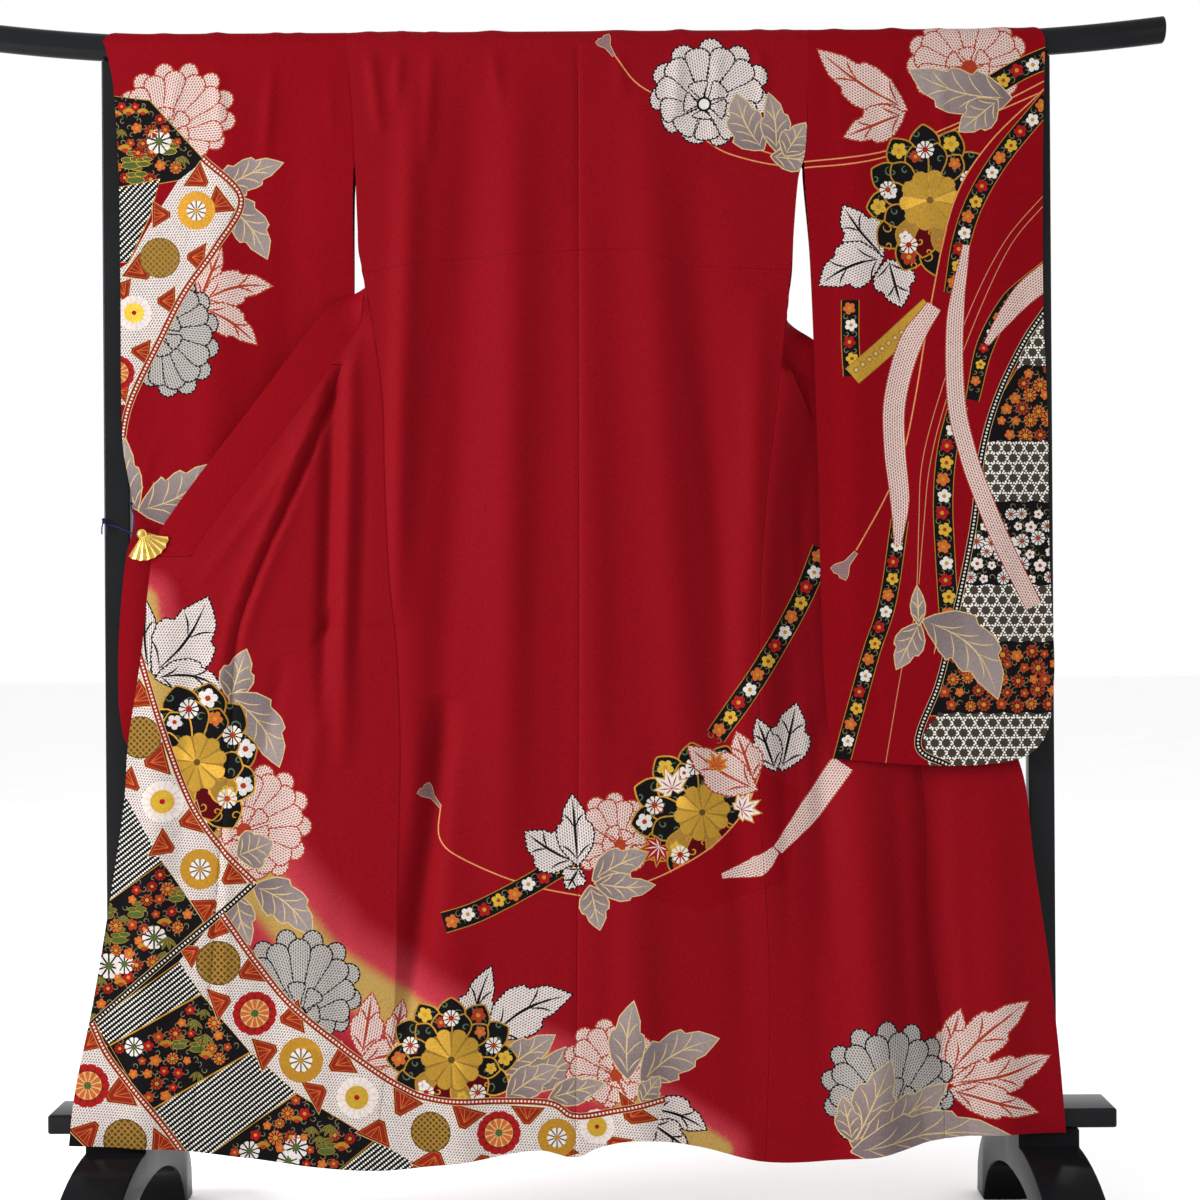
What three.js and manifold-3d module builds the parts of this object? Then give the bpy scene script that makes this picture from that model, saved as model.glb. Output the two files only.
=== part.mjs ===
// Furisode kimono hung by both sleeves on a lacquered kimono stand.
// Millimetres. +X to the right of someone who looks at the kimono's back, +Y away from them, +Z up.
// The origin lies on the floor under the middle of the stand.
import * as THREE from 'three';
import { mergeVertices } from 'three/addons/utils/BufferGeometryUtils.js';
import Module from 'manifold-3d';

const wasm = await Module();
wasm.setup();

// ---- driving dimensions of the stand ----
const ROD = { z: 1732, tall: 39, deep: 34, half: 847, straight: 600, lift: 19, endScale: 0.86 };
const UPRIGHT = { x: 662, wide: 37, deep: 24, chamfer: 2 };
const RAIL = { half: 759, deep: 84, bottom: 181.3, top: 209, chamfer: 3 };
const FOOT = { wide: 86, reach: 268, top: 181, shoulder: 156, toe: 14, arch: 108, block: 41, pad: 58 };

// ---- driving dimensions of the cloth ----
const CLOTH = 1.5;          // a lined silk panel
const SEAM = 0.2;           // half the gap between two pieces that are sewn together in one plane
const CORNER_SEAM = 0.8;    // the gap where two sewn pieces meet at an angle
const REST = 0.6;           // cloth to rod
const COLLAR_WIDTH = 55;    // the collar band, folded in half along its length
const COLLAR_LIFT = 0.9;    // the band's double cloth stands this much further off the rod
const NECK = 89;            // half the width of the neck opening
const RAIL_CLEAR = -43.6;   // no cloth lies behind this depth where it passes the rail

const CREST = { deep: ROD.deep / 2 + REST + CLOTH / 2, tall: ROD.tall / 2 + REST + CLOTH / 2 };
const TURNING_SEAM = 1.1;   // the gap between the collar band and the body, which twist past each other
const ARC = 30.4;           // cloth length from the rod's crest to its side
const NOTCH = { above: 0.3, below: 0.1, next: 0.7 };   // close rows where an edge steps sideways
const TOP_HEIGHT = ROD.z + ARC;

const group = new THREE.Group();

// ---- small maths ----
const mix = (a, b, t) => a + (b - a) * t;
const clamp = (t) => Math.min(1, Math.max(0, t));
const smooth = (t) => clamp(t) ** 2 * (3 - 2 * clamp(t));

// A curve through the rows of a table, read by the column key and returning the column value.
function curve(key, value, rows) {
  const xs = rows.map((row) => row[key]);
  const ys = rows.map((row) => row[value]);
  const falling = xs[0] > xs[xs.length - 1];
  const slope = (i) => {
    const a = Math.max(0, i - 1);
    const b = Math.min(xs.length - 1, i + 1);
    return (ys[b] - ys[a]) / (xs[b] - xs[a]);
  };
  return (x) => {
    let i = 0;
    while (i < xs.length - 2 && (falling ? x < xs[i + 1] : x > xs[i + 1])) i += 1;
    const h = xs[i + 1] - xs[i];
    const t = clamp((x - xs[i]) / h);
    const bend = slope(i) * h * (t ** 3 - 2 * t ** 2 + t) + slope(i + 1) * h * (t ** 3 - t ** 2);
    return ys[i] * (2 * t ** 3 - 3 * t ** 2 + 1) + ys[i + 1] * (3 * t ** 2 - 2 * t ** 3) + bend;
  };
}

// ---- meshes ----
function add(name, geometry, look) {
  const solid = mergeVertices(geometry, 1e-3);
  solid.computeVertexNormals();
  const mesh = new THREE.Mesh(solid, new THREE.MeshStandardMaterial(look));
  mesh.name = name;
  group.add(mesh);
  return mesh;
}

function facing(positions, index) {
  let volume = 0;
  const a = new THREE.Vector3();
  const b = new THREE.Vector3();
  const c = new THREE.Vector3();
  for (let i = 0; i < index.length; i += 3) {
    a.fromArray(positions, 3 * index[i]);
    b.fromArray(positions, 3 * index[i + 1]);
    c.fromArray(positions, 3 * index[i + 2]);
    volume += a.dot(b.cross(c));
  }
  if (volume < 0) {
    for (let i = 0; i < index.length; i += 3) {
      [index[i + 1], index[i + 2]] = [index[i + 2], index[i + 1]];
    }
  }
  const geometry = new THREE.BufferGeometry();
  geometry.setAttribute('position', new THREE.Float32BufferAttribute(positions, 3));
  geometry.setIndex(index);
  return geometry;
}

// A panel of cloth: two skins and a rim round a grid of mid-surface points.
function sheet(columns, rows, place) {
  const wide = columns.length;
  const long = rows.length;
  const mid = [];
  for (const row of rows) {
    for (const column of columns) mid.push(new THREE.Vector3(...place(column, row)));
  }
  const at = (i, j) => j * wide + i;
  const normal = mid.map(() => new THREE.Vector3());
  const skin = [];
  for (let j = 0; j < long - 1; j += 1) {
    for (let i = 0; i < wide - 1; i += 1) {
      const [a, b, c, d] = [at(i, j), at(i + 1, j), at(i + 1, j + 1), at(i, j + 1)];
      skin.push(a, b, c, a, c, d);
      const across = new THREE.Vector3().subVectors(mid[c], mid[a]);
      const face = across.cross(new THREE.Vector3().subVectors(mid[d], mid[b]));
      for (const k of [a, b, c, d]) normal[k].add(face);
    }
  }
  const positions = [];
  for (const side of [0.5, -0.5]) {
    mid.forEach((point, k) => {
      const n = normal[k].clone().normalize();
      positions.push(...point.clone().addScaledVector(n, side * CLOTH).toArray());
    });
  }
  const edge = [];
  for (let i = 0; i < wide - 1; i += 1) edge.push([at(i, 0), at(i + 1, 0)]);
  for (let j = 0; j < long - 1; j += 1) edge.push([at(wide - 1, j), at(wide - 1, j + 1)]);
  for (let i = wide - 1; i > 0; i -= 1) edge.push([at(i, long - 1), at(i - 1, long - 1)]);
  for (let j = long - 1; j > 0; j -= 1) edge.push([at(0, j), at(0, j - 1)]);
  const index = [...skin];
  const back = mid.length;
  for (let k = 0; k < skin.length; k += 3) index.push(skin[k] + back, skin[k + 2] + back, skin[k + 1] + back);
  for (const [p, q] of edge) index.push(q, p, p + back, q, p + back, q + back);
  return facing(positions, index);
}

// A solid lofted through rings of points, all with the same count, and closed at both ends.
function loft(rings) {
  const count = rings[0].length;
  const positions = rings.flat().flatMap((p) => [p.x, p.y, p.z]);
  const index = [];
  for (let r = 0; r < rings.length - 1; r += 1) {
    for (let k = 0; k < count; k += 1) {
      const a = r * count + k;
      const b = r * count + ((k + 1) % count);
      index.push(a, b, b + count, a, b + count, a + count);
    }
  }
  const last = (rings.length - 1) * count;
  for (let k = 1; k < count - 1; k += 1) {
    index.push(0, k + 1, k);
    index.push(last, last + k, last + k + 1);
  }
  return facing(positions, index);
}

function tube(points, radius, sides, steps) {
  const path = new THREE.CatmullRomCurve3(points, false, 'centripetal');
  const frames = path.computeFrenetFrames(steps, false);
  const rings = [];
  for (let s = 0; s <= steps; s += 1) {
    const centre = path.getPointAt(s / steps);
    const ring = [];
    for (let k = 0; k < sides; k += 1) {
      const angle = (2 * Math.PI * k) / sides;
      ring.push(centre.clone()
        .addScaledVector(frames.normals[s], radius * Math.cos(angle))
        .addScaledVector(frames.binormals[s], radius * Math.sin(angle)));
    }
    rings.push(ring);
  }
  return loft(rings);
}

function solidOf(geometry) {
  const bare = new THREE.BufferGeometry();
  bare.setAttribute('position', geometry.getAttribute('position').clone());
  if (geometry.index) bare.setIndex(geometry.index.clone());
  const merged = mergeVertices(bare, 1e-3);
  return new wasm.Manifold(new wasm.Mesh({
    numProp: 3,
    vertProperties: new Float32Array(merged.getAttribute('position').array),
    triVerts: new Uint32Array(merged.index.array),
  }));
}

function geometryOf(solid) {
  const mesh = solid.getMesh();
  const geometry = new THREE.BufferGeometry();
  geometry.setAttribute('position', new THREE.BufferAttribute(new Float32Array(mesh.vertProperties), 3));
  geometry.setIndex(new THREE.BufferAttribute(new Uint32Array(mesh.triVerts), 1));
  return geometry;
}

// ---- looks ----
const LACQUER = { color: 0x0b0d0f, roughness: 0.18, metalness: 0.0 };
const SILK = { color: 0xa00e21, roughness: 0.62, metalness: 0.0, side: THREE.DoubleSide };
const COLLAR_SILK = { ...SILK, color: 0x8d0c1c };
const GOLD = { color: 0xc99b3f, roughness: 0.32, metalness: 0.9 };
const CORD_SILK = { color: 0x26214a, roughness: 0.7, metalness: 0.0 };

// ---- the stand ----
const rodLift = (x) => ROD.lift * clamp((Math.abs(x) - ROD.straight) / (ROD.half - ROD.straight)) ** 1.6;

function rod() {
  const sides = 20;
  const stations = [-ROD.half, -835, -790, -740, -690, -645, -ROD.straight, 0];
  const xs = [...stations, ...stations.slice(0, -1).reverse().map((x) => -x)];
  const rings = xs.map((x) => {
    const slim = Math.abs(x) === ROD.half ? ROD.endScale : 1;
    return Array.from({ length: sides }, (_, k) => {
      const angle = (2 * Math.PI * k) / sides;
      const y = slim * (ROD.deep / 2) * Math.cos(angle);
      return new THREE.Vector3(x, y, ROD.z + rodLift(x) + slim * (ROD.tall / 2) * Math.sin(angle));
    });
  });
  add('rod', loft(rings), LACQUER);
}

function chamfered(halfWide, halfDeep, cut) {
  return [
    [-halfWide + cut, -halfDeep], [halfWide - cut, -halfDeep], [halfWide, -halfDeep + cut],
    [halfWide, halfDeep - cut], [halfWide - cut, halfDeep], [-halfWide + cut, halfDeep],
    [-halfWide, halfDeep - cut], [-halfWide, -halfDeep + cut],
  ];
}

function upright(name, x) {
  const outline = chamfered(UPRIGHT.wide / 2, UPRIGHT.deep / 2, UPRIGHT.chamfer);
  const inner = UPRIGHT.x - UPRIGHT.wide / 2;
  const top = ROD.z + rodLift(inner) - ROD.tall / 2 - 2 * SEAM;
  const levels = [RAIL.top + 2 * SEAM, top];
  const rings = levels.map((z) => outline.map(([dx, y]) => new THREE.Vector3(x + dx, y, z)));
  add(name, loft(rings), LACQUER);
}

function baseRail() {
  const middle = (RAIL.top + RAIL.bottom) / 2;
  const outline = chamfered(RAIL.deep / 2, (RAIL.top - RAIL.bottom) / 2, RAIL.chamfer);
  const rings = [-RAIL.half, RAIL.half].map((x) => (
    outline.map(([y, dz]) => new THREE.Vector3(x, y, middle + dz))));
  add('base_rail', loft(rings), LACQUER);
}

// An arched foot that runs front to back: a block under the rail, and two curved legs on flat pads.
function foot(name, x) {
  const steps = 9;
  const half = [];
  half.push([FOOT.block, FOOT.top]);
  for (let k = 0; k <= steps; k += 1) {
    const t = (k / steps) * (Math.PI / 2);
    const y = mix(FOOT.block, FOOT.reach, Math.sin(t));
    half.push([y, mix(FOOT.toe, FOOT.shoulder, Math.cos(t) ** 0.9)]);
  }
  half.push([FOOT.reach, 0]);
  half.push([FOOT.reach - FOOT.pad, 0]);
  for (let k = 1; k < steps; k += 1) {
    const t = (1 - k / steps) * (Math.PI / 2);
    half.push([(FOOT.reach - FOOT.pad) * Math.sin(t), FOOT.arch * Math.cos(t)]);
  }
  half.push([0, FOOT.arch]);
  const shape = new THREE.Shape();
  const mirror = half.slice(0, -1).reverse().map(([y, z]) => [-y, z]);
  [...half, ...mirror].forEach(([y, z], k) => (k ? shape.lineTo(y, z) : shape.moveTo(y, z)));
  shape.closePath();
  const geometry = new THREE.ExtrudeGeometry(shape, { depth: FOOT.wide, bevelEnabled: false });
  geometry.deleteAttribute('normal');
  geometry.deleteAttribute('uv');
  geometry.applyMatrix4(new THREE.Matrix4().set(0, 0, 1, x - FOOT.wide / 2, 1, 0, 0, 0, 0, 1, 0, 0, 0, 0, 0, 1));
  add(name, geometry, LACQUER);
}

// ---- outlines of the cloth: x at each height z ----
const CENTRE = curve('z', 'x', [
  { z: 1752, x: 2.9 }, { z: 935, x: -0.4 }, { z: 510, x: -5.4 }, { z: 144, x: -10.5 },
]);
const LEFT_SIDE = curve('z', 'x', [
  { z: 1752, x: -329 }, { z: 1649, x: -320.4 }, { z: 1551, x: -316 }, { z: 1450, x: -312 },
  { z: 1419, x: -308 }, { z: 1336, x: -292.6 }, { z: 1222, x: -277.4 }, { z: 1113, x: -275 },
  { z: 965, x: -268.6 }, { z: 858, x: -259 }, { z: 723, x: -255.3 }, { z: 582, x: -258.8 },
  { z: 356, x: -265.3 }, { z: 244, x: -281.3 }, { z: 131, x: -294.6 },
]);
const RIGHT_SIDE = curve('z', 'x', [
  { z: 1752, x: 334 }, { z: 1644, x: 331.4 }, { z: 1571, x: 327 }, { z: 1536, x: 317.5 },
  { z: 1404, x: 305.7 }, { z: 1218, x: 284.2 }, { z: 1075, x: 267.3 }, { z: 933, x: 257.6 },
  { z: 649, x: 255 }, { z: 508, x: 263 }, { z: 367, x: 266.8 }, { z: 142, x: 259.3 },
]);
const HEM = curve('x', 'z', [
  { x: -727, z: 167 }, { x: -653, z: 164.8 }, { x: -556, z: 158.5 }, { x: -470, z: 147 },
  { x: -385, z: 135 }, { x: -293, z: 128.5 }, { x: -215, z: 135 }, { x: -145, z: 144.5 },
  { x: -60, z: 156 }, { x: -10, z: 146 }, { x: 25, z: 160 }, { x: 82, z: 171 }, { x: 166, z: 160 },
  { x: 258, z: 138 }, { x: 364, z: 141 }, { x: 449, z: 155 }, { x: 510, z: 168 }, { x: 590, z: 175 },
  { x: 685, z: 177 },
]);
const LEFT_OKUMI_SEAM = curve('z', 'x', [
  { z: 1302, x: -329 }, { z: 1222, x: -354 }, { z: 1096, x: -406 }, { z: 969, x: -460.6 },
  { z: 878, x: -489.3 }, { z: 732, x: -498 }, { z: 582, x: -512.6 }, { z: 443, x: -522.7 },
  { z: 358, x: -531.3 }, { z: 246, x: -547 }, { z: 160, x: -557 },
]);
const RIGHT_OKUMI_SEAM = curve('z', 'x', [
  { z: 1230, x: 318 }, { z: 984, x: 404 }, { z: 817, x: 463 }, { z: 648, x: 492 },
  { z: 468, x: 493.5 }, { z: 323, x: 511 }, { z: 170, x: 512.4 },
]);
const LEFT_FREE_EDGE = curve('z', 'x', [
  { z: 1002, x: -607.5 }, { z: 937, x: -614.8 }, { z: 861, x: -622.9 }, { z: 735, x: -642.1 },
  { z: 655, x: -647.7 }, { z: 518, x: -667.6 }, { z: 368, x: -692.6 }, { z: 243, x: -718 },
  { z: 167, x: -726.8 },
]);
const RIGHT_FREE_EDGE = curve('z', 'x', [
  { z: 958, x: 507 }, { z: 817, x: 576.3 }, { z: 689, x: 631.6 }, { z: 562, x: 645.7 },
  { z: 421, x: 663.7 }, { z: 294, x: 676.2 }, { z: 177, x: 684.8 },
]);

// Depth at which the back hangs: straight down from the rod, then easing out past the rail.
const hang = (z) => -CREST.deep - 28 * clamp((1700 - z) / 1485) ** 1.3;

// ---- folds: each one a furrow (depth > 0) or ridge (depth < 0) along a line ----
const BACK_FOLDS = [
  { xTop: -145, zTop: 1720, xEnd: -216, zEnd: 330, depth: 9, half: 44 },
  { xTop: -70, zTop: 1690, xEnd: -96, zEnd: 500, depth: -5, half: 40 },
  { xTop: -292, zTop: 1180, xEnd: -244, zEnd: 300, depth: 6, half: 26 },
  { xTop: -215, zTop: 620, xEnd: -150, zEnd: -300, depth: -5, half: 38 },
  { xTop: 168, zTop: 1560, xEnd: 240, zEnd: 200, depth: 9, half: 36 },
  { xTop: 90, zTop: 1660, xEnd: 150, zEnd: 560, depth: -5, half: 42 },
  { xTop: 262, zTop: 1380, xEnd: 225, zEnd: 640, depth: -6, half: 26 },
  { xTop: 70, zTop: 700, xEnd: 95, zEnd: -300, depth: -5, half: 44 },
];
const LEFT_FRONT_FOLDS = [
  { xTop: -312, zTop: 1400, xEnd: -520, zEnd: 800, depth: -8, half: 20 },
  { xTop: -335, zTop: 1290, xEnd: -372, zEnd: 740, depth: 7, half: 20 },
  { xTop: -292, zTop: 1310, xEnd: -316, zEnd: 560, depth: -6, half: 16 },
  { xTop: -430, zTop: 900, xEnd: -450, zEnd: -300, depth: 6, half: 34 },
  { xTop: -590, zTop: 980, xEnd: -640, zEnd: -200, depth: -6, half: 26 },
];
const RIGHT_FRONT_FOLDS = [
  { xTop: 495, zTop: 760, xEnd: 515, zEnd: -300, depth: 8, half: 18 },
  { xTop: 400, zTop: 720, xEnd: 420, zEnd: -300, depth: -9, half: 40 },
  { xTop: 590, zTop: 700, xEnd: 606, zEnd: -300, depth: -5, half: 36 },
];
const LEFT_SLEEVE_FOLDS = [
  { xTop: -400, zTop: 1700, xEnd: -420, zEnd: 900, depth: 3, half: 34 },
  { xTop: -520, zTop: 1690, xEnd: -560, zEnd: 760, depth: -3, half: 44 },
];
const RIGHT_SLEEVE_FOLDS = [
  { xTop: 470, zTop: 1690, xEnd: 452, zEnd: 820, depth: 3, half: 36 },
  { xTop: 400, zTop: 1650, xEnd: 385, zEnd: 720, depth: -3, half: 26 },
  { xTop: 610, zTop: 1500, xEnd: 590, zEnd: 500, depth: -4, half: 40 },
];

function furrows(folds, x, z) {
  let depth = 0;
  for (const fold of folds) {
    const t = (fold.zTop - z) / (fold.zTop - fold.zEnd);
    if (t <= 0 || t >= 1) continue;
    const offset = (x - mix(fold.xTop, fold.xEnd, t)) / fold.half;
    depth += fold.depth * Math.sqrt(Math.sin(Math.PI * t)) * Math.exp(-offset * offset);
  }
  return depth;
}

// Cloth that passes the rail stays in front of it.
const clearOfRail = (y, z) => (z < 300 ? Math.min(y, mix(RAIL_CLEAR, y, clamp((z - 215) / 85))) : y);

// ---- rows and columns of the grids ----
const fractions = (count) => Array.from({ length: count + 1 }, (_, k) => k / count);
const ARC_TURNS = [0, 0.2, 0.4, 0.6, 0.8];
const ARC_ROWS = ARC_TURNS.map((turn) => ({ turn }));
const HEM_ROWS = [{ hemward: 0.5 }, { hemward: 1 }];
const LOWEST_LEVEL = 240;

// The heights that the body's pieces share on one side, so that their seams have the same bends.
function bodyLevels(front) {
  const { band, tip } = front;
  const levels = [ROD.z, 1690, 1640, 1590, 1545];
  const first = band.turnover + 80;
  if (first < 1500) levels.push((first + 1545) / 2);
  for (let z = first; z > band.turnover - 81; z -= 20) levels.push(z);
  const lowest = levels[levels.length - 1];
  const count = Math.round((lowest - band.end) / 72);
  for (let k = 1; k < count; k += 1) levels.push(mix(lowest, band.end - NOTCH.above, k / count));
  levels.push(tip + NOTCH.above, tip - NOTCH.below);
  levels.push(band.end - NOTCH.above, band.end - NOTCH.next);
  const falls = Math.round((band.end - LOWEST_LEVEL) / 76);
  for (let k = 1; k <= falls; k += 1) levels.push(mix(band.end - NOTCH.next, LOWEST_LEVEL, k / falls));
  return levels.filter((z) => Math.abs(z - tip) < 1 || Math.abs(z - tip) > 9).sort((a, b) => b - a);
}

// A point on the cloth where it bends over the rod; side is -1 before the rod and 1 behind it.
function overRod(x, turn, side) {
  const angle = (turn * Math.PI) / 2;
  const y = side * Math.max(2 * SEAM, CREST.deep * Math.sin(angle));
  return [x, y, ROD.z + rodLift(x) + CREST.tall * Math.cos(angle)];
}

// ---- back panels ----
function backDepth(x, z) {
  const eased = smooth((ROD.z - z) / 90);
  return clearOfRail(hang(z) + eased * furrows(BACK_FOLDS, x, z), z);
}

function backPanel(name, side, inset, front) {
  const across = (u, z) => mix(side(z), CENTRE(z) + inset, u);
  const rows = [...ARC_ROWS, ...bodyLevels(front).map((z) => ({ z })), ...HEM_ROWS];
  const place = (u, row) => {
    if (row.turn !== undefined) return overRod(across(u, ROD.z + CREST.tall), row.turn, -1);
    const z = row.z ?? mix(LOWEST_LEVEL, HEM(across(u, 150)), row.hemward);
    const x = across(u, z);
    return [x, backDepth(x, z), z];
  };
  add(name, sheet(fractions(10), rows, place), SILK);
}

// ---- collar band ----
// Each side has the band's outer line in flat height (height along the cloth), the height at which the
// band turns over, and the depth of its centre line. outward is -1 on the left and 1 on the right.
const LEFT_BAND = {
  outward: -1, turnover: 1392, spread: 62, end: 1001, x: curve('h', 'x', [
    { h: TOP_HEIGHT, x: -NECK }, { h: 1600, x: -184 }, { h: 1419, x: -312 }, { h: 1230, x: -453 },
    { h: 1038, x: -595.7 }, { h: 985, x: -611 },
  ]),
  y: curve('h', 'y', [
    { h: ROD.z, y: CREST.deep }, { h: 1600, y: 15 }, { h: 1480, y: 6 }, { h: 1400, y: -7 },
    { h: 1330, y: -19 }, { h: 1230, y: -26 }, { h: 1035, y: -32 }, { h: 980, y: -32.4 },
  ]),
};
const RIGHT_BAND = {
  outward: 1, turnover: 1338, spread: 60, end: 958, x: curve('h', 'x', [
    { h: TOP_HEIGHT, x: NECK }, { h: 1560, x: 205 }, { h: 1346, x: 325 }, { h: 1165, x: 410 },
    { h: 984, x: 494 }, { h: 940, x: 516 },
  ]),
  y: curve('h', 'y', [
    { h: ROD.z, y: CREST.deep }, { h: 1600, y: 15 }, { h: 1460, y: 5 }, { h: 1338, y: -7 },
    { h: 1250, y: -8 }, { h: 985, y: -8 }, { h: 930, y: -9 },
  ]),
};

function flatPoint(x, h, y) {
  const lift = COLLAR_LIFT * smooth((h - 1690) / 30);
  if (h <= ROD.z) return [x, y + lift, h];
  const [px, py, pz] = overRod(x, (TOP_HEIGHT - h) / ARC, 1);
  return [px, py + lift, pz + lift];
}

// The two long edges of the band where its centre line is at flat height h: sewn is joined to the body.
function bandEdges(band, h) {
  const step = 4;
  const slope = (band.x(h + step) - band.x(h - step)) / (2 * step);
  const length = Math.hypot(slope, 1);
  const nx = band.outward / length;
  const nh = -band.outward * slope / length;
  const centreX = band.x(h) - nx * COLLAR_WIDTH / 2;
  const centreH = h - nh * COLLAR_WIDTH / 2;
  const turn = Math.PI * smooth((band.turnover + band.spread - centreH) / (2 * band.spread));
  const half = (COLLAR_WIDTH / 2) * (1 - 0.74 * Math.sin(turn));
  const y = band.y(centreH);
  const edge = (reach) => [
    centreX + reach * Math.cos(turn) * nx,
    centreH + reach * Math.cos(turn) * nh,
    y - reach * Math.sin(turn),
  ];
  return { sewn: edge(half), free: edge(-half) };
}

// Heights of the band's rows: close where it leaves the rod and where it turns over.
const BAND_TOP = [1756, 1749, 1742, 1735, 1727, 1712, 1680, 1635, 1590, 1545];
const BAND_STEP = { turning: 20, plain: 48, last: 45 };

function bandStations(band) {
  const heights = [...BAND_TOP];
  const turnEnd = band.turnover - band.spread;
  let h = Math.min(1500, band.turnover + band.spread + 30);
  while (h > band.end + BAND_STEP.last) {
    heights.push(h);
    h -= h > turnEnd ? BAND_STEP.turning : BAND_STEP.plain;
  }
  // the neck: the sewn edge runs level along the crest and the free edge hangs below it
  const neck = [0, 0.5, 1].map((t) => ({
    sewn: [band.outward * NECK * t, TOP_HEIGHT, CREST.deep],
    free: [band.outward * 38 * t, mix(TOP_HEIGHT - COLLAR_WIDTH, 1694, t * t), CREST.deep],
  }));
  // the end is cut level
  const last = bandEdges(band, band.end);
  const end = {
    sewn: [sewnAt(band, band.end)[0], band.end, last.sewn[2]],
    free: [band.x(band.end + BAND_STEP.turning), band.end, last.free[2]],
  };
  return { neck, stations: [...heights.map((height) => bandEdges(band, height)), end] };
}

// The band's sewn edge at height z, found by halving.
function sewnAt(band, z) {
  let low = z - COLLAR_WIDTH;
  let high = z + COLLAR_WIDTH;
  for (let k = 0; k < 30; k += 1) {
    const middle = (low + high) / 2;
    if (bandEdges(band, middle).sewn[1] > z) high = middle;
    else low = middle;
  }
  return bandEdges(band, (low + high) / 2).sewn;
}

function collar() {
  const left = bandStations(LEFT_BAND);
  const right = bandStations(RIGHT_BAND);
  const rows = [
    ...left.stations.slice().reverse(), ...left.neck.slice(1).reverse(),
    ...right.neck, ...right.stations,
  ];
  const place = (u, row) => {
    const [sx, sh, sy] = row.sewn;
    const [fx, fh, fy] = row.free;
    const width = Math.hypot(fx - sx, fh - sh, fy - sy);
    const t = mix(TURNING_SEAM / width, 1, u);
    return flatPoint(mix(sx, fx, t), mix(sh, fh, t), mix(sy, fy, t));
  };
  add('collar', sheet(fractions(7), rows, place), COLLAR_SILK);
}

// ---- front panels and okumi ----
// Each front is ruled from its side edge to the collar band, and below the band to the free edge.
const LEFT_FRONT = {
  outward: -1, side: LEFT_SIDE, seam: LEFT_OKUMI_SEAM, free: LEFT_FREE_EDGE, band: LEFT_BAND,
  folds: LEFT_FRONT_FOLDS, tip: 1274, sideTop: 1421, valley: 0,
  sideDepth: curve('z', 'y', [
    { z: ROD.z, y: CREST.deep }, { z: 1640, y: 15.5 }, { z: 1556, y: 12 }, { z: 1480, y: -2 },
    { z: 1450, y: -10 }, { z: 1421, y: -19.4 },
  ]),
  edgeDepth: curve('z', 'y', [
    { z: 1002, y: -32.2 }, { z: 700, y: -36 }, { z: 400, y: -42.5 }, { z: 209, y: -47.5 }, { z: 150, y: -48 },
  ]),
};
const RIGHT_FRONT = {
  outward: 1, side: RIGHT_SIDE, seam: RIGHT_OKUMI_SEAM, free: RIGHT_FREE_EDGE, band: RIGHT_BAND,
  folds: RIGHT_FRONT_FOLDS, tip: 1150, sideTop: 1404, valley: 62,
  sideDepth: curve('z', 'y', [
    { z: ROD.z, y: CREST.deep }, { z: 1640, y: 15.5 }, { z: 1556, y: 12 }, { z: 1480, y: -1 },
    { z: 1440, y: -10 }, { z: 1404, y: -19.6 },
  ]),
  edgeDepth: curve('z', 'y', [
    { z: 960, y: -8.4 }, { z: 820, y: -11.5 }, { z: 690, y: -17.5 }, { z: 560, y: -28 }, { z: 400, y: -39 },
    { z: 209, y: -46.5 }, { z: 150, y: -47 },
  ]),
};

function sideEdge(front, z) {
  const loose = smooth((z - (front.band.turnover - 60)) / 50);
  const above = smooth((z - front.sideTop - 40) / 60);
  const x = front.side(z) + front.outward * mix(mix(CORNER_SEAM, 1.4, loose), 0, above);
  if (z >= front.sideTop) return [x, front.sideDepth(z), z];
  return [x, backDepth(front.side(z), z) + 1.4 * loose, z];
}

function innerEdge(front, z) {
  if (z < front.band.end) return [front.free(z), front.edgeDepth(z), z];
  const [x, , y] = sewnAt(front.band, z);
  return [x, y, z];
}

// The point of a front at height z and place x, between its side edge and its inner or free edge.
function frontPoint(front, z, x) {
  const [sx, sy] = sideEdge(front, z);
  const [ex, ey] = innerEdge(front, z);
  const t = (x - sx) / (ex - sx);
  const below = smooth((front.band.turnover - 30 - z) / 60);
  const quick = front.valley ? smooth(Math.abs(x - sx) / front.valley) : t;
  const y = mix(sy, ey, mix(t, quick, below));
  const edgeward = Math.min(Math.abs(x - sx), z > front.band.end ? Math.abs(x - ex) : 60);
  const free = below * smooth(edgeward / 45);
  return [x, clearOfRail(y + free * furrows(front.folds, x, z), z), z];
}

function frontPanel(name, front) {
  const { band, outward, tip } = front;
  const rows = [...ARC_ROWS, ...bodyLevels(front).map((z) => ({ z })), ...HEM_ROWS];
  const place = (u, row) => {
    if (row.turn !== undefined) {
      const inner = band.x(TOP_HEIGHT - ARC * row.turn);
      return overRod(mix(front.side(ROD.z + CREST.tall), inner, u), row.turn, 1);
    }
    const hem = HEM(mix(front.side(150), front.seam(170), u));
    const z = row.z ?? mix(LOWEST_LEVEL, hem, row.hemward);
    const [sx, sy] = sideEdge(front, z);
    const [ex, ey] = innerEdge(front, z);
    if (z > band.turnover - 75) {
      const share = u * (1 - 2 * SEAM / Math.hypot(ex - sx, ey - sy));
      return [mix(sx, ex, share), mix(sy, ey, share), z];
    }
    const whole = z > tip;
    const end = whole ? ex - outward * 2 * SEAM : front.seam(z) - outward * SEAM;
    return frontPoint(front, z, mix(sx, end, u));
  };
  add(name, sheet(fractions(8), rows, place), SILK);
}

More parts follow.
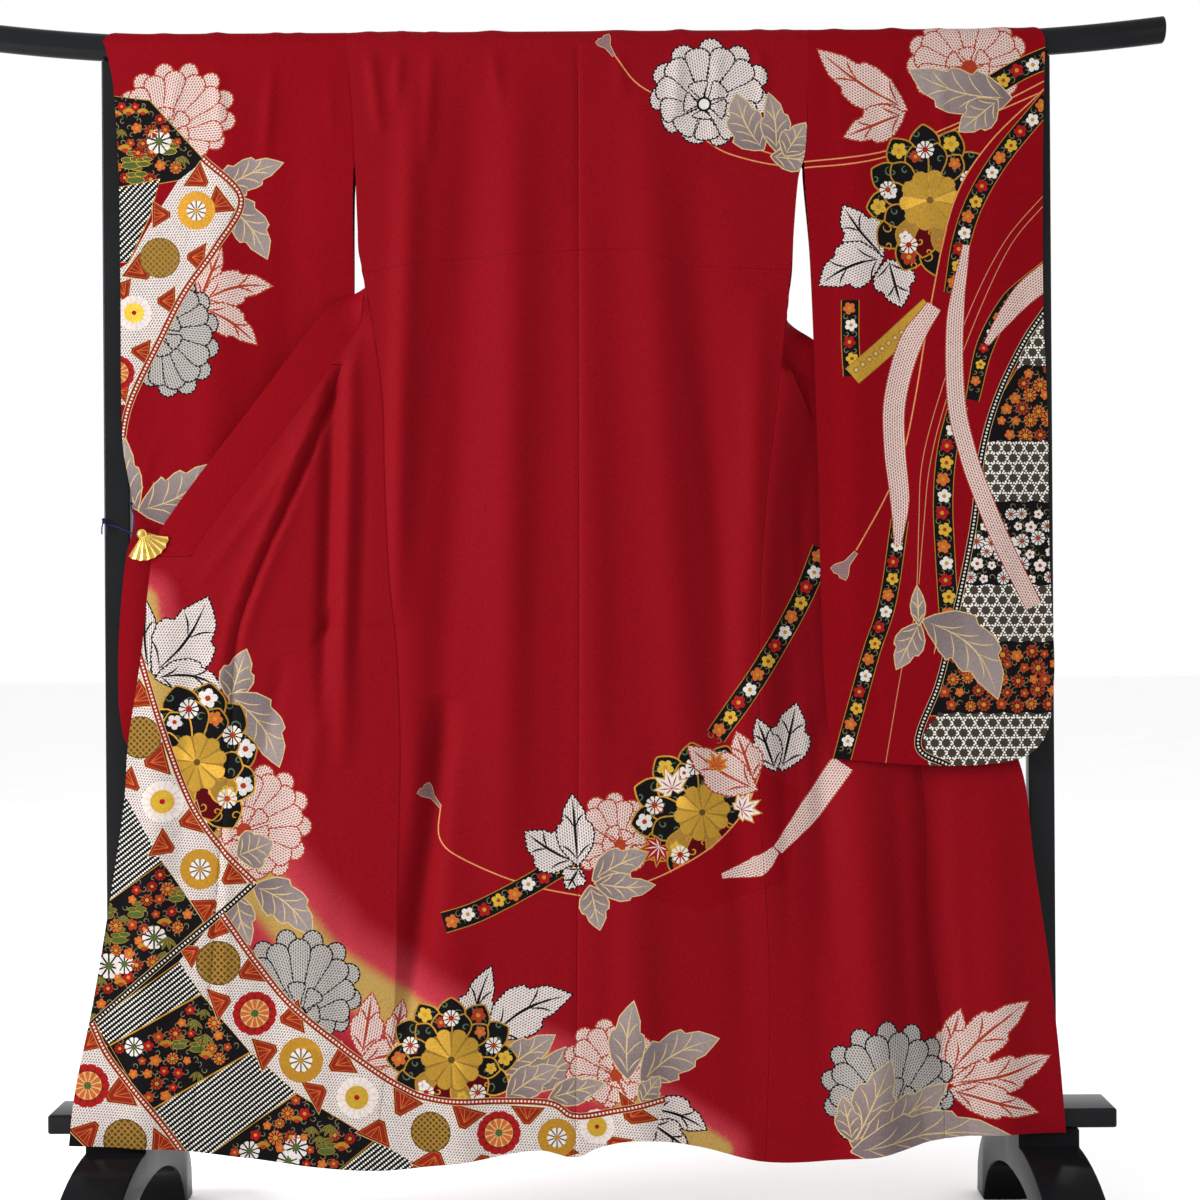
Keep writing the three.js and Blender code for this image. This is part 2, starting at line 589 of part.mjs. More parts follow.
function okumiPanel(name, front) {
  const { band, outward } = front;
  const levels = bodyLevels(front).filter((z) => z < front.tip - 1);
  const rows = [front.tip - NOTCH.next, ...levels].map((z) => ({ z })).concat(HEM_ROWS);
  const place = (u, row) => {
    const hem = HEM(mix(front.seam(170), front.free(170), u));
    const z = row.z ?? mix(LOWEST_LEVEL, hem, row.hemward);
    const atBand = z > band.end - (NOTCH.above + NOTCH.next) / 2;
    const reach = atBand ? sewnAt(band, Math.max(z, band.end))[0] : front.free(z);
    const start = front.seam(z) + outward * SEAM;
    return frontPoint(front, z, mix(start, reach, u));
  };
  add(name, sheet(fractions(5), rows, place), SILK);
}

// ---- sleeves ----
// A sleeve is one width of cloth folded over the rod: the near wall, the crest and the far wall.
// The walls are sewn together along the bottom and, below the cuff opening, along the outer edge.
const LEFT_SLEEVE = {
  outward: -1, folds: LEFT_SLEEVE_FOLDS, body: LEFT_SIDE, sewnTo: 1556,
  inner: curve('z', 'x', [
    { z: 1752, x: -329.3 }, { z: 1649, x: -320.7 }, { z: 1560, x: -318.6 }, { z: 1510, x: -320.4 },
    { z: 1400, x: -321 }, { z: 700, x: -326 },
  ]),
  outer: curve('z', 'x', [
    { z: 1754, x: -671 }, { z: 1714, x: -660 }, { z: 1671, x: -653 }, { z: 1400, x: -653.4 },
    { z: 1168, x: -652 }, { z: 1110, x: -643.5 }, { z: 1086, x: -638.6 }, { z: 1040, x: -638.4 },
    { z: 1005, x: -647 },
    { z: 933, x: -655.6 }, { z: 861, x: -660 }, { z: 790, x: -660 },
  ]),
  bottom: curve('u', 'z', [
    { u: 0, z: 700 }, { u: 0.5, z: 697 }, { u: 0.82, z: 702 }, { u: 0.93, z: 716 }, { u: 0.98, z: 745 },
    { u: 1, z: 788 },
  ]),
  near: curve('z', 'y', [
    { z: ROD.z, y: -CREST.deep }, { z: 1560, y: -18.6 }, { z: 1480, y: -13 }, { z: 1400, y: -2 },
    { z: 1300, y: 0 }, { z: 700, y: -2 },
  ]),
  far: curve('z', 'y', [
    { z: ROD.z, y: CREST.deep }, { z: 1640, y: 15.5 }, { z: 1556, y: 12 }, { z: 1450, y: 8 },
    { z: 1300, y: 6 }, { z: 700, y: 2.4 },
  ]),
  rimNear: -16.2, rimFar: -14.3,
};
const RIGHT_SLEEVE = {
  outward: 1, folds: RIGHT_SLEEVE_FOLDS, body: RIGHT_SIDE, sewnTo: 1556,
  inner: curve('z', 'x', [
    { z: 1752, x: 334.3 }, { z: 1644, x: 331.7 }, { z: 1571, x: 327.4 }, { z: 1545, x: 326.5 },
    { z: 1428, x: 333.7 }, { z: 1145, x: 342.5 }, { z: 848, x: 348.3 }, { z: 700, x: 357 },
  ]),
  outer: curve('z', 'x', [
    { z: 1752, x: 673 }, { z: 1625, x: 668.6 }, { z: 1355, x: 666 }, { z: 1185, x: 671 },
    { z: 987, x: 671.6 }, { z: 846, x: 677 }, { z: 799, x: 675 },
  ]),
  bottom: curve('u', 'z', [
    { u: 0, z: 707 }, { u: 0.5, z: 696 }, { u: 0.82, z: 703 }, { u: 0.93, z: 722 }, { u: 0.98, z: 752 },
    { u: 1, z: 798 },
  ]),
  near: curve('z', 'y', [
    { z: ROD.z, y: -CREST.deep }, { z: 1560, y: -18.8 }, { z: 1300, y: -22 }, { z: 700, y: -31 },
  ]),
  far: curve('z', 'y', [
    { z: ROD.z, y: CREST.deep }, { z: 1640, y: 15.5 }, { z: 1556, y: 12 }, { z: 1480, y: -2 },
    { z: 1420, y: -12 }, { z: 1340, y: -15.5 }, { z: 1000, y: -17 }, { z: 700, y: -25 },
  ]),
  rimNear: -16.2, rimFar: -14.3,
};
const CUFF = { z: 1520, inset: 640 };   // below this height both walls pass before the upright
const SEWN = 2.2;                        // mid-surface to mid-surface where the two walls are sewn
const SLEEVE_LEVELS = [ROD.z, 1700, 1660, 1620, 1580, 1546, 1524, 1518, 1470];
const SLEEVE_FALLS = 11;

function sleeve(name, part) {
  const { outward } = part;
  const lowest = SLEEVE_LEVELS[SLEEVE_LEVELS.length - 1];
  const falls = fractions(SLEEVE_FALLS).slice(1).map((fall) => ({ fall }));
  const wall = [...SLEEVE_LEVELS.map((z) => ({ z })), ...falls];
  const rows = [
    ...wall.slice().reverse().map((row) => ({ ...row, side: -1 })),
    ...ARC_TURNS.slice().reverse().map((turn) => ({ turn, side: -1 })),
    ...ARC_TURNS.slice(1).map((turn) => ({ turn, side: 1 })),
    ...wall.map((row) => ({ ...row, side: 1 })),
  ];
  const innerEdgeX = (z) => (z > part.sewnTo
    ? Math.abs(part.body(z)) + CORNER_SEAM
    : Math.abs(part.inner(z)));
  const outerEdgeX = (z, side) => {
    const edge = Math.abs(part.outer(z));
    return side < 0 ? edge : mix(edge, CUFF.inset, smooth((z - CUFF.z) / 4));
  };
  const nearDepth = (u, z) => {
    const lower = smooth((1590 - z) / 110);
    const towardRim = outward < 0 ? lower * smooth(u) : 0;
    const bulge = outward > 0 ? 2 * lower * Math.sin(Math.PI * u) : 0;
    return mix(part.near(z), part.rimNear, towardRim) - bulge;
  };
  const farDepth = (u, z) => {
    const rim = outward > 0 ? Math.min(part.rimFar, part.near(z) + SEWN) : part.rimFar;
    return mix(part.far(z), rim, smooth((1660 - z) / 110) * smooth(u * 1.15));
  };
  const place = (u, row) => {
    if (row.turn !== undefined) {
      const top = ROD.z + CREST.tall;
      const outer = mix(Math.abs(part.outer(top)), CUFF.inset, (1 + row.side * row.turn) / 2);
      const [x, y, z] = overRod(outward * mix(innerEdgeX(top), outer, u), row.turn, row.side);
      return [x, row.turn === 0 ? 0 : y, z];
    }
    const z = row.z ?? mix(lowest, part.bottom(u), row.fall);
    const x = outward * mix(innerEdgeX(z), outerEdgeX(z, row.side), u);
    const closed = smooth(((row.fall ?? 0) - 0.86) / 0.14);
    const near = nearDepth(u, z);
    const far = Math.max(mix(farDepth(u, z), near + SEWN, closed), near + SEWN);
    const slack = Math.sin(Math.PI * u) ** 0.7 * smooth((ROD.z - z) / 90) * (1 - 0.6 * closed);
    const fold = slack * furrows(part.folds, x, z);
    return [x, row.side < 0 ? near + fold : far + 0.7 * fold + 0.6 * slack, z];
  };
  add(name, sheet(fractions(8), rows, place), SILK);
}

// ---- clip and cord ----
const CLIP = { x: -620, z: 1033, cloth: -32.2, head: 7, radius: 38, plate: 2.2, pleats: 7 };

function clip() {
  const front = CLIP.cloth - CLOTH / 2 - 2 * SEAM;
  const back = CLIP.cloth + CLOTH / 2 + 2 * SEAM;
  const start = THREE.MathUtils.degToRad(-122);
  const end = THREE.MathUtils.degToRad(-6);
  const fan = new THREE.Shape();
  fan.moveTo(-2, 2);
  const points = CLIP.pleats * 2;
  for (let k = 0; k <= points; k += 1) {
    const angle = mix(start, end, k / points);
    const radius = CLIP.radius - (k % 2 ? 1.6 : 0);
    fan.lineTo(radius * Math.cos(angle), radius * Math.sin(angle));
  }
  fan.closePath();
  const plate = (shape, y0, y1) => {
    const geometry = new THREE.ExtrudeGeometry(shape, { depth: y1 - y0, bevelEnabled: false });
    geometry.applyMatrix4(new THREE.Matrix4().set(1, 0, 0, CLIP.x, 0, 0, 1, y0, 0, 1, 0, CLIP.z, 0, 0, 0, 1));
    const p = geometry.getAttribute('position');   // the axes swap hands, so each face is turned over
    for (let k = 0; k < p.count; k += 3) {
      const b = [p.getX(k + 1), p.getY(k + 1), p.getZ(k + 1)];
      p.setXYZ(k + 1, p.getX(k + 2), p.getY(k + 2), p.getZ(k + 2));
      p.setXYZ(k + 2, ...b);
    }
    return solidOf(geometry);
  };
  const jaw = new THREE.Shape();
  [[-3, 4], [-3, -5], [34, -15], [38, -6]].forEach(([x, z], k) => (k ? jaw.lineTo(x, z) : jaw.moveTo(x, z)));
  jaw.closePath();
  const head = new THREE.Shape();
  head.absarc(-1, 0, CLIP.head, 0, 2 * Math.PI);
  const solid = plate(fan, front - CLIP.plate, front)
    .add(plate(jaw, back, back + CLIP.plate))
    .add(plate(head, front - CLIP.plate - 0.8, back + CLIP.plate));
  add('clip_fan', geometryOf(solid), GOLD);
}

const CORD = { radius: 1 };

function cord() {
  const side = UPRIGHT.wide / 2 + CORD.radius + 2 * SEAM;
  const deep = UPRIGHT.deep / 2 + CORD.radius + 2 * SEAM;
  const x = -UPRIGHT.x;
  const route = [
    [CLIP.x - 9.4, CLIP.cloth - 1, CLIP.z + 2],
    [-634, -24, 1058],
    [x + side - 0.2, -deep - 1, 1078],
    [x + side + 0.4, 0, 1078],
    [x + side - 1, deep, 1077],
    [x, deep + 0.6, 1066],
    [x - side + 1, deep, 1056],
    [x - side - 0.4, 0, 1053],
    [x - side + 1, -deep - 0.6, 1050],
    [x + 2, -deep - 6.2, 1044],
    [-640, -26, 1036],
    [CLIP.x - 9.4, CLIP.cloth + 1.4, CLIP.z - 3],
  ].map((p) => new THREE.Vector3(...p));
  add('clip_cord', tube(route, CORD.radius, 6, 44), CORD_SILK);
  const knotAt = new THREE.Vector3(x - side + 3, -deep - 5.4, 1054);
  const knot = new THREE.SphereGeometry(3, 8, 6).translate(...knotAt.toArray());
  knot.deleteAttribute('normal');
  knot.deleteAttribute('uv');
  const tails = [[-3, 0, -20], [4, -1, -17]].map(([dx, dy, dz]) => tube([
    knotAt,
    new THREE.Vector3(knotAt.x + dx * 0.9, knotAt.y + dy, knotAt.z + dz * 0.5),
    new THREE.Vector3(knotAt.x + dx, knotAt.y + dy, knotAt.z + dz),
  ], CORD.radius, 6, 5));
  let solid = solidOf(knot);
  for (const tail of tails) solid = solid.add(solidOf(tail));
  add('cord_knot', geometryOf(solid), CORD_SILK);
}

// ---- assembly ----
rod();
upright('upright_left', -UPRIGHT.x);
upright('upright_right', UPRIGHT.x);
baseRail();
foot('foot_left', -UPRIGHT.x);
foot('foot_right', UPRIGHT.x);
backPanel('back_left', LEFT_SIDE, -SEAM, LEFT_FRONT);
backPanel('back_right', RIGHT_SIDE, SEAM, RIGHT_FRONT);
frontPanel('front_left', LEFT_FRONT);
frontPanel('front_right', RIGHT_FRONT);
okumiPanel('okumi_left', LEFT_FRONT);
okumiPanel('okumi_right', RIGHT_FRONT);
collar();
sleeve('sleeve_left', LEFT_SLEEVE);
sleeve('sleeve_right', RIGHT_SLEEVE);
clip();
cord();

export default group;
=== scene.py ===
# %% [markdown]
# # A furisode kimono on its stand
# A furisode is the long-sleeved kimono of formal dress. Here it hangs with its back to the viewer, both
# sleeves threaded on the rod of a lacquered stand. The left front is drawn out and clipped to the stand, so
# that the pattern runs on from the back round the hem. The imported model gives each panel's place, and this
# script lays the finished cloth, the dyed pattern, the lacquer and the small gilt clip over it.

# %% Load the frame
import math
import bmesh
import bpy
import numpy as np
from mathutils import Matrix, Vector
from mathutils.geometry import delaunay_2d_cdt


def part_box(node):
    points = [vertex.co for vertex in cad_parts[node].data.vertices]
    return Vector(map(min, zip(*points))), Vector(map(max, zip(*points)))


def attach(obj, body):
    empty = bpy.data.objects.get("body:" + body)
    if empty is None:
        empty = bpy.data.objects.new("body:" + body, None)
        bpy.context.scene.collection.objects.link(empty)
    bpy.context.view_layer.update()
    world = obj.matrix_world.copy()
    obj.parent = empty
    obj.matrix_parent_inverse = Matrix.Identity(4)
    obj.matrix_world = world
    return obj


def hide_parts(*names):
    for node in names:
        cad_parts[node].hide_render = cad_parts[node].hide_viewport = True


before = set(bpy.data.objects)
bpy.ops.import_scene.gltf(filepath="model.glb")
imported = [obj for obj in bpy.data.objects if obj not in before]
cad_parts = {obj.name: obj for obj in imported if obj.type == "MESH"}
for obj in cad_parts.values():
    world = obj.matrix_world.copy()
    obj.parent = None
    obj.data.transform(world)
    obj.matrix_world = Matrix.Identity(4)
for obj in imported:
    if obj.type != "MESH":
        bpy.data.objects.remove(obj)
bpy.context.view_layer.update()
print("nodes:", len(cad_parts))

# %% [markdown]
# ## Camera, floor and light
# The view looks straight at the kimono's back from half the rod's height, with a slight roll. A pale floor and
# three large soft lights are enough: silk needs broad light, and lacquer needs something large to mirror.

# %% Camera
EYE = Vector((0.030, -2.80, 0.935))
ROLL = 0.0066
VIEW_WIDTH = 1.728             # metres across the view, in the plane of the rod
SENSOR = 36.0

camera_data = bpy.data.cameras.new("view")
camera_data.sensor_width = SENSOR
camera_data.lens = SENSOR * abs(EYE.y) / VIEW_WIDTH
camera = bpy.data.objects.new("view", camera_data)
camera.location = EYE
camera.rotation_euler = (math.pi / 2, ROLL, 0)
bpy.context.scene.collection.objects.link(camera)
bpy.context.scene.camera = camera
print("lens", round(camera_data.lens, 1))


# %% Floor and lights
def deselect():
    bpy.ops.object.select_all(action="DESELECT")


def area_light(name, place, aim, size, watts, colour=(1, 1, 1)):
    data = bpy.data.lights.new(name, "AREA")
    data.shape = "RECTANGLE"
    data.size, data.size_y = size
    data.energy = watts
    data.color = colour
    light = bpy.data.objects.new(name, data)
    light.location = place
    light.rotation_euler = (Vector(aim) - Vector(place)).to_track_quat("-Z", "Y").to_euler()
    bpy.context.scene.collection.objects.link(light)


FLOOR_SIZE = 40.0
deselect()
bpy.ops.mesh.primitive_plane_add(size=FLOOR_SIZE, location=(0, 0, 0))
floor = bpy.context.object
floor.name = "floor"

world = bpy.data.worlds.new("studio")
world.use_nodes = True
world.node_tree.nodes["Background"].inputs["Color"].default_value = (1.0, 1.0, 1.0, 1)
world.node_tree.nodes["Background"].inputs["Strength"].default_value = 1.0
bpy.context.scene.world = world
bpy.context.scene.view_settings.view_transform = "Standard"
area_light("key", (-3.3, -1.7, 2.0), (0, 0, 0.9), (1.6, 2.0), 225)
area_light("fill", (2.8, -3.0, 1.4), (0, 0, 0.9), (2.4, 2.4), 16)
area_light("back", (0.5, 3.0, 2.8), (0, 0, 1.0), (2.6, 2.0), 30)


# %% [markdown]
# ## Writing shaders as sums
# Node trees are easiest to read as arithmetic. A small class wraps one output socket, and its operators add
# the Math nodes, so `1 - mask * 0.4` is a node tree. Colours go through Mix nodes and every other node comes
# from one method.

# %% Shader class
class Signal:
    """One output socket, with operators that add Math nodes."""

    def __init__(self, finish, socket):
        self.finish = finish
        self.socket = socket

    def __add__(self, other):
        return self.finish.math("ADD", self, other)

    def __sub__(self, other):
        return self.finish.math("SUBTRACT", self, other)

    def __rsub__(self, other):
        return self.finish.math("SUBTRACT", other, self)

    def __mul__(self, other):
        return self.finish.math("MULTIPLY", self, other)

    def __truediv__(self, other):
        return self.finish.math("DIVIDE", self, other)

    def __lt__(self, other):
        return self.finish.math("LESS_THAN", self, other)

    __radd__ = __add__
    __rmul__ = __mul__

    def fraction(self):
        return self.finish.math("FRACT", self)

    def floor(self):
        return self.finish.math("FLOOR", self)

    def absolute(self):
        return self.finish.math("ABSOLUTE", self)


class Finish:
    """A material whose surface is set by constants and Signals."""

    def __init__(self, name, **constants):
        self.material = bpy.data.materials.new(name)
        self.material.use_nodes = True
        self.tree = self.material.node_tree
        self.surface = self.tree.nodes["Principled BSDF"]
        for socket, value in constants.items():
            self.surface.inputs[socket.replace("_", " ")].default_value = value

    def node(self, kind, settings=None, inputs=None, output=0):
        made = self.tree.nodes.new(kind)
        for key, value in (settings or {}).items():
            setattr(made, key, value)
        for key, value in (inputs or {}).items():
            if isinstance(value, Signal):
                self.tree.links.new(value.socket, made.inputs[key])
            else:
                made.inputs[key].default_value = value
        return Signal(self, made.outputs[output])

    def math(self, operation, a, b=0.0):
        return self.node("ShaderNodeMath", {"operation": operation}, {0: a, 1: b})

    def blend(self, factor, a, b):
        settings = {"data_type": "RGBA", "clamp_factor": True}
        return self.node("ShaderNodeMix", settings, {0: factor, 6: a, 7: b}, output=2)

    def scaled(self, colour, amount):
        return self.node("ShaderNodeVectorMath", {"operation": "SCALE"}, {0: colour, 3: amount})

    def noise(self, scale, detail=2.0, place=None):
        inputs = {"Scale": scale, "Detail": detail}
        inputs["Vector"] = place or self.node("ShaderNodeTexCoord", output=3)
        return self.node("ShaderNodeTexNoise", None, inputs, output=0)

    def feed(self, socket, signal):
        self.tree.links.new(signal.socket, self.surface.inputs[socket])

    def bump(self, height, strength, distance):
        inputs = {"Height": height, "Strength": strength, "Distance": distance}
        self.feed("Normal", self.node("ShaderNodeBump", None, inputs))


def grey(value):
    return (value, value, value, 1.0)


print("shader class ready")

# %% Floor finish
paper = Finish("pale floor", Roughness=0.85)
tone = paper.noise(3.0)
paper.feed("Base Color", paper.blend(tone, grey(0.93), grey(0.97)))
floor.data.materials.append(paper.material)

# %% [markdown]
# ## The silk
# Chirimen is a crepe: its surface is a fine irregular pebble. The pattern on it is laid on as corner
# attributes by the panel builder. `dye` is the colour, `craft` says how the colour was made (tie-dyed dots,
# gold thread, rows of beads, star lattice), and `grain` is the place in the motif's own directions, so that
# the dots follow each ribbon. One material reads them all.

# %% Silk
KANOKO = {"along": 0.0046, "across": 0.0034, "dash": 0.0029, "thin": 0.0016}
BEADS = {"along": 0.0038, "across": 0.0062, "size": 0.0014}
LATTICE = {"pitch": 0.0285, "bead": 0.0040, "size": 0.0014}
THREAD = 0.0011                # one couched gold thread

silk = Finish("crepe silk", Roughness=0.6, Specular_IOR_Level=0.025)
dye = silk.node("ShaderNodeAttribute", {"attribute_name": "dye"})
craft_colour = silk.node("ShaderNodeAttribute", {"attribute_name": "craft"})
craft_alpha = silk.node("ShaderNodeAttribute", {"attribute_name": "craft"}, output=3)
grain_vector = silk.node("ShaderNodeAttribute", {"attribute_name": "grain"}, output=1)
tied = silk.node("ShaderNodeSeparateColor", None, {0: craft_colour}, output=0)
gilt = silk.node("ShaderNodeSeparateColor", None, {0: craft_colour}, output=1)
beaded = silk.node("ShaderNodeSeparateColor", None, {0: craft_colour}, output=2)
along = silk.node("ShaderNodeSeparateXYZ", None, {0: grain_vector}, output=0)
across = silk.node("ShaderNodeSeparateXYZ", None, {0: grain_vector}, output=1)


def centred(signal, pitch):
    """Distance in metres from the middle of a cell of a row of cells."""
    return ((signal / pitch).fraction() - 0.5).absolute() * pitch


def kanoko_dots():
    row = (across / KANOKO["across"]).floor()
    shifted = along + row * (KANOKO["along"] * 0.5)
    in_dash = centred(shifted, KANOKO["along"]) < KANOKO["dash"] / 2
    in_row = centred(across, KANOKO["across"]) < KANOKO["thin"] / 2
    return in_dash * in_row


def bead_rows():
    near_u = centred(along, BEADS["along"]) / BEADS["size"]
    near_v = centred(across, BEADS["across"]) / (BEADS["size"] * 1.1)
    return (near_u * near_u + near_v * near_v) < 1.0


def star_lattice():
    """Dotted lines in three directions, the open weave of a bamboo basket."""
    lines = None
    for degrees in (0, 60, 120):
        angle = math.radians(degrees)
        tangent = along * math.cos(angle) + across * math.sin(angle)
        normal = across * math.cos(angle) - along * math.sin(angle)
        near_line = centred(normal, LATTICE["pitch"] / 2) / LATTICE["size"]
        near_bead = centred(tangent, LATTICE["bead"]) / LATTICE["size"]
        line = (near_line * near_line + near_bead * near_bead) < 1.0
        lines = line if lines is None else silk.math("MAXIMUM", lines, line)
    return lines


dots = kanoko_dots() * tied
beads = silk.math("MAXIMUM", bead_rows() * beaded, star_lattice() * craft_alpha)
cloud = silk.noise(5.0, 1.0)
pebble = silk.noise(460.0, 3.0)
worn = silk.blend(cloud * 0.4, silk.scaled(dye, 0.52), silk.scaled(dye, 0.43))
dark_dye = silk.node("ShaderNodeVectorMath", {"operation": "MULTIPLY"}, {0: dye, 1: (0.16, 0.08, 0.08)})
coloured = silk.blend(dots * 0.92, worn, dark_dye)
coloured = silk.blend(beads, coloured, (0.56, 0.54, 0.49, 1))
silk.feed("Base Color", silk.blend((pebble - 0.5) * 1.6 + 0.12, coloured, silk.scaled(coloured, 0.45)))
silk.feed("Metallic", gilt * 0.45)
silk.feed("Roughness", 0.62 - gilt * 0.22 + pebble * 0.08)
thread = centred(along, THREAD) / THREAD
height = pebble * 0.5 + dots * -0.5 + beads * 0.4 + gilt * thread * 1.2
silk.bump(height, 0.6, 0.0011)

# %% Lining, lacquer, gilt and cord
lining = Finish("lining silk", Roughness=0.55, Specular_IOR_Level=0.03)
lining_dye = lining.node("ShaderNodeAttribute", {"attribute_name": "dye"})
lining.feed("Base Color", lining.blend(lining.noise(300.0), lining_dye, lining.scaled(lining_dye, 0.8)))
lining.bump(lining.noise(900.0), 0.25, 0.0003)

lacquer = Finish("black lacquer", Roughness=0.12, Specular_IOR_Level=0.07, Coat_Weight=0.02, Coat_Roughness=0.04)
smear = lacquer.noise(6.0, 4.0)
lacquer.feed("Base Color", lacquer.blend(smear, (0.0035, 0.0036, 0.0042, 1), (0.009, 0.0095, 0.011, 1)))
lacquer.feed("Roughness", 0.10 + smear * 0.12)
lacquer.bump(lacquer.noise(14.0, 1.0), 0.05, 0.002)

foot_lacquer = Finish("dull black lacquer", Roughness=0.16, Specular_IOR_Level=0.015)
foot_lacquer.feed("Base Color", foot_lacquer.blend(foot_lacquer.noise(6.0, 4.0), (0.003, 0.003, 0.0035, 1),
                                                   (0.008, 0.008, 0.009, 1)))
foot_lacquer.bump(foot_lacquer.noise(14.0, 1.0), 0.05, 0.002)

gold = Finish("gilt brass", Metallic=1.0)
patch = gold.noise(180.0, 3.0)
gold.feed("Base Color", gold.blend(patch, (0.30, 0.18, 0.03, 1), (0.58, 0.40, 0.11, 1)))
gold.feed("Roughness", 0.24 + patch * 0.2)
gold.bump(patch, 0.15, 0.0004)

twine = Finish("twisted cord", Roughness=0.8, Specular_IOR_Level=0.1)
lay = twine.node("ShaderNodeTexWave", {"bands_direction": "DIAGONAL"}, {"Scale": 260.0, "Distortion": 0.0,
                 "Vector": twine.node("ShaderNodeTexCoord", output=3)}, output=1)
twine.feed("Base Color", twine.blend(lay, (0.006, 0.005, 0.028, 1), (0.022, 0.017, 0.075, 1)))
twine.bump(lay, 0.7, 0.0005)
print("finishes:", len(bpy.data.materials))

# %% [markdown]
# ## How each panel hangs
# A kimono is cut from straight widths of silk, so each panel is a long strip whose place can be written as a
# function: give it the place across (x) and the height along the cloth (h), and it returns the point in
# space. Above the rod's side the cloth bends over the rod, and h is then cloth length, not height.

# %% Measures of the rod and the cloth
LOW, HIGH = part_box("rod")
ROD_MIDDLE = 1.732
ROD_DEEP = HIGH[1] - LOW[1]
ROD_TALL = 0.039
ROD_HALF = HIGH[0]
ROD_STRAIGHT = 0.600
ROD_LIFT = 0.019
CLOTH = 0.0015
REST = 0.0006
CORNER_SEAM = 0.0008           # two sewn pieces that meet at an angle
CREST_DEEP = ROD_DEEP / 2 + REST + CLOTH / 2
CREST_TALL = ROD_TALL / 2 + REST + CLOTH / 2
ARC = 0.0304
TOP = ROD_MIDDLE + ARC
RAIL_CLEAR = -0.0436           # the cloth keeps this side of the base rail
print("cloth crest", round(ROD_MIDDLE + CREST_TALL, 4))


# %% Curves through a few rows
def mix(a, b, t):
    return a + (b - a) * t


def smooth(t):
    t = np.clip(t, 0, 1)
    return t * t * (3 - 2 * t)


def curve(rows):
    """A smooth function through rows of (key, value) in thousandths."""
    table = np.array(sorted(rows), dtype=float) * 0.001
    xs, ys = table[:, 0], table[:, 1]
    low = np.maximum(np.arange(len(xs)) - 1, 0)
    high = np.minimum(np.arange(len(xs)) + 1, len(xs) - 1)
    slope = (ys[high] - ys[low]) / (xs[high] - xs[low])

    def at(x):
        x = np.asarray(x, dtype=float)
        i = np.clip(np.searchsorted(xs, x, side="right") - 1, 0, len(xs) - 2)
        h = xs[i + 1] - xs[i]
        t = np.clip((x - xs[i]) / h, 0, 1)
        rise = ys[i] * (2 * t**3 - 3 * t**2 + 1) + ys[i + 1] * (3 * t**2 - 2 * t**3)
        return rise + slope[i] * h * (t**3 - 2 * t**2 + t) + slope[i + 1] * h * (t**3 - t**2)

    return at


def rod_lift(x):
    out = np.clip((np.abs(x) - ROD_STRAIGHT) / (ROD_HALF - ROD_STRAIGHT), 0, 1)
    return ROD_LIFT * out**1.6


HANG_TOP, HANG_FALL = 1.700, 1.485
HANG_LEAN = 0.028              # how far the cloth leans towards the viewer over that fall


def hang(z):
    return -CREST_DEEP - HANG_LEAN * np.clip((HANG_TOP - z) / HANG_FALL, 0, 1) ** 1.3


def clear_of_rail(y, z):
    kept = np.minimum(y, mix(RAIL_CLEAR, y, np.clip((z - 0.215) / 0.085, 0, 1)))
    return np.where(z < 0.3, kept, y)


# %% Outlines of the panels, (height, place) in millimetres
CENTRE = curve([(1752, 2.9), (935, -0.4), (510, -5.4), (144, -10.5)])
LEFT_SIDE = curve([
    (1752, -329), (1649, -320.4), (1551, -316), (1450, -312), (1419, -308), (1336, -292.6),
    (1222, -277.4), (1113, -275), (965, -268.6), (858, -259), (723, -255.3), (582, -258.8),
    (356, -265.3), (244, -281.3), (131, -294.6)])
RIGHT_SIDE = curve([
    (1752, 334), (1644, 331.4), (1571, 327), (1536, 317.5), (1404, 305.7), (1218, 284.2),
    (1075, 267.3), (933, 257.6), (649, 255), (508, 263), (367, 266.8), (142, 259.3)])
HEM = curve([
    (-727, 167), (-653, 164.8), (-556, 158.5), (-470, 147), (-385, 135), (-293, 128.5), (-215, 135),
    (-145, 144.5), (-60, 156), (-10, 146), (25, 160), (82, 171), (166, 160), (258, 138), (364, 141),
    (449, 155), (510, 168), (590, 175), (685, 177)])
LEFT_OKUMI = curve([
    (1302, -329), (1222, -354), (1096, -406), (969, -460.6), (878, -489.3), (732, -498),
    (582, -512.6), (443, -522.7), (358, -531.3), (246, -547), (160, -557)])
RIGHT_OKUMI = curve([
    (1230, 318), (984, 404), (817, 463), (648, 492), (468, 493.5), (323, 511), (170, 512.4)])
LEFT_FREE = curve([
    (1002, -607.5), (937, -614.8), (861, -622.9), (735, -642.1), (655, -647.7), (518, -667.6),
    (368, -692.6), (243, -718), (167, -726.8)])
RIGHT_FREE = curve([
    (958, 507), (817, 576.3), (689, 631.6), (562, 645.7), (421, 663.7), (294, 676.2), (177, 684.8)])

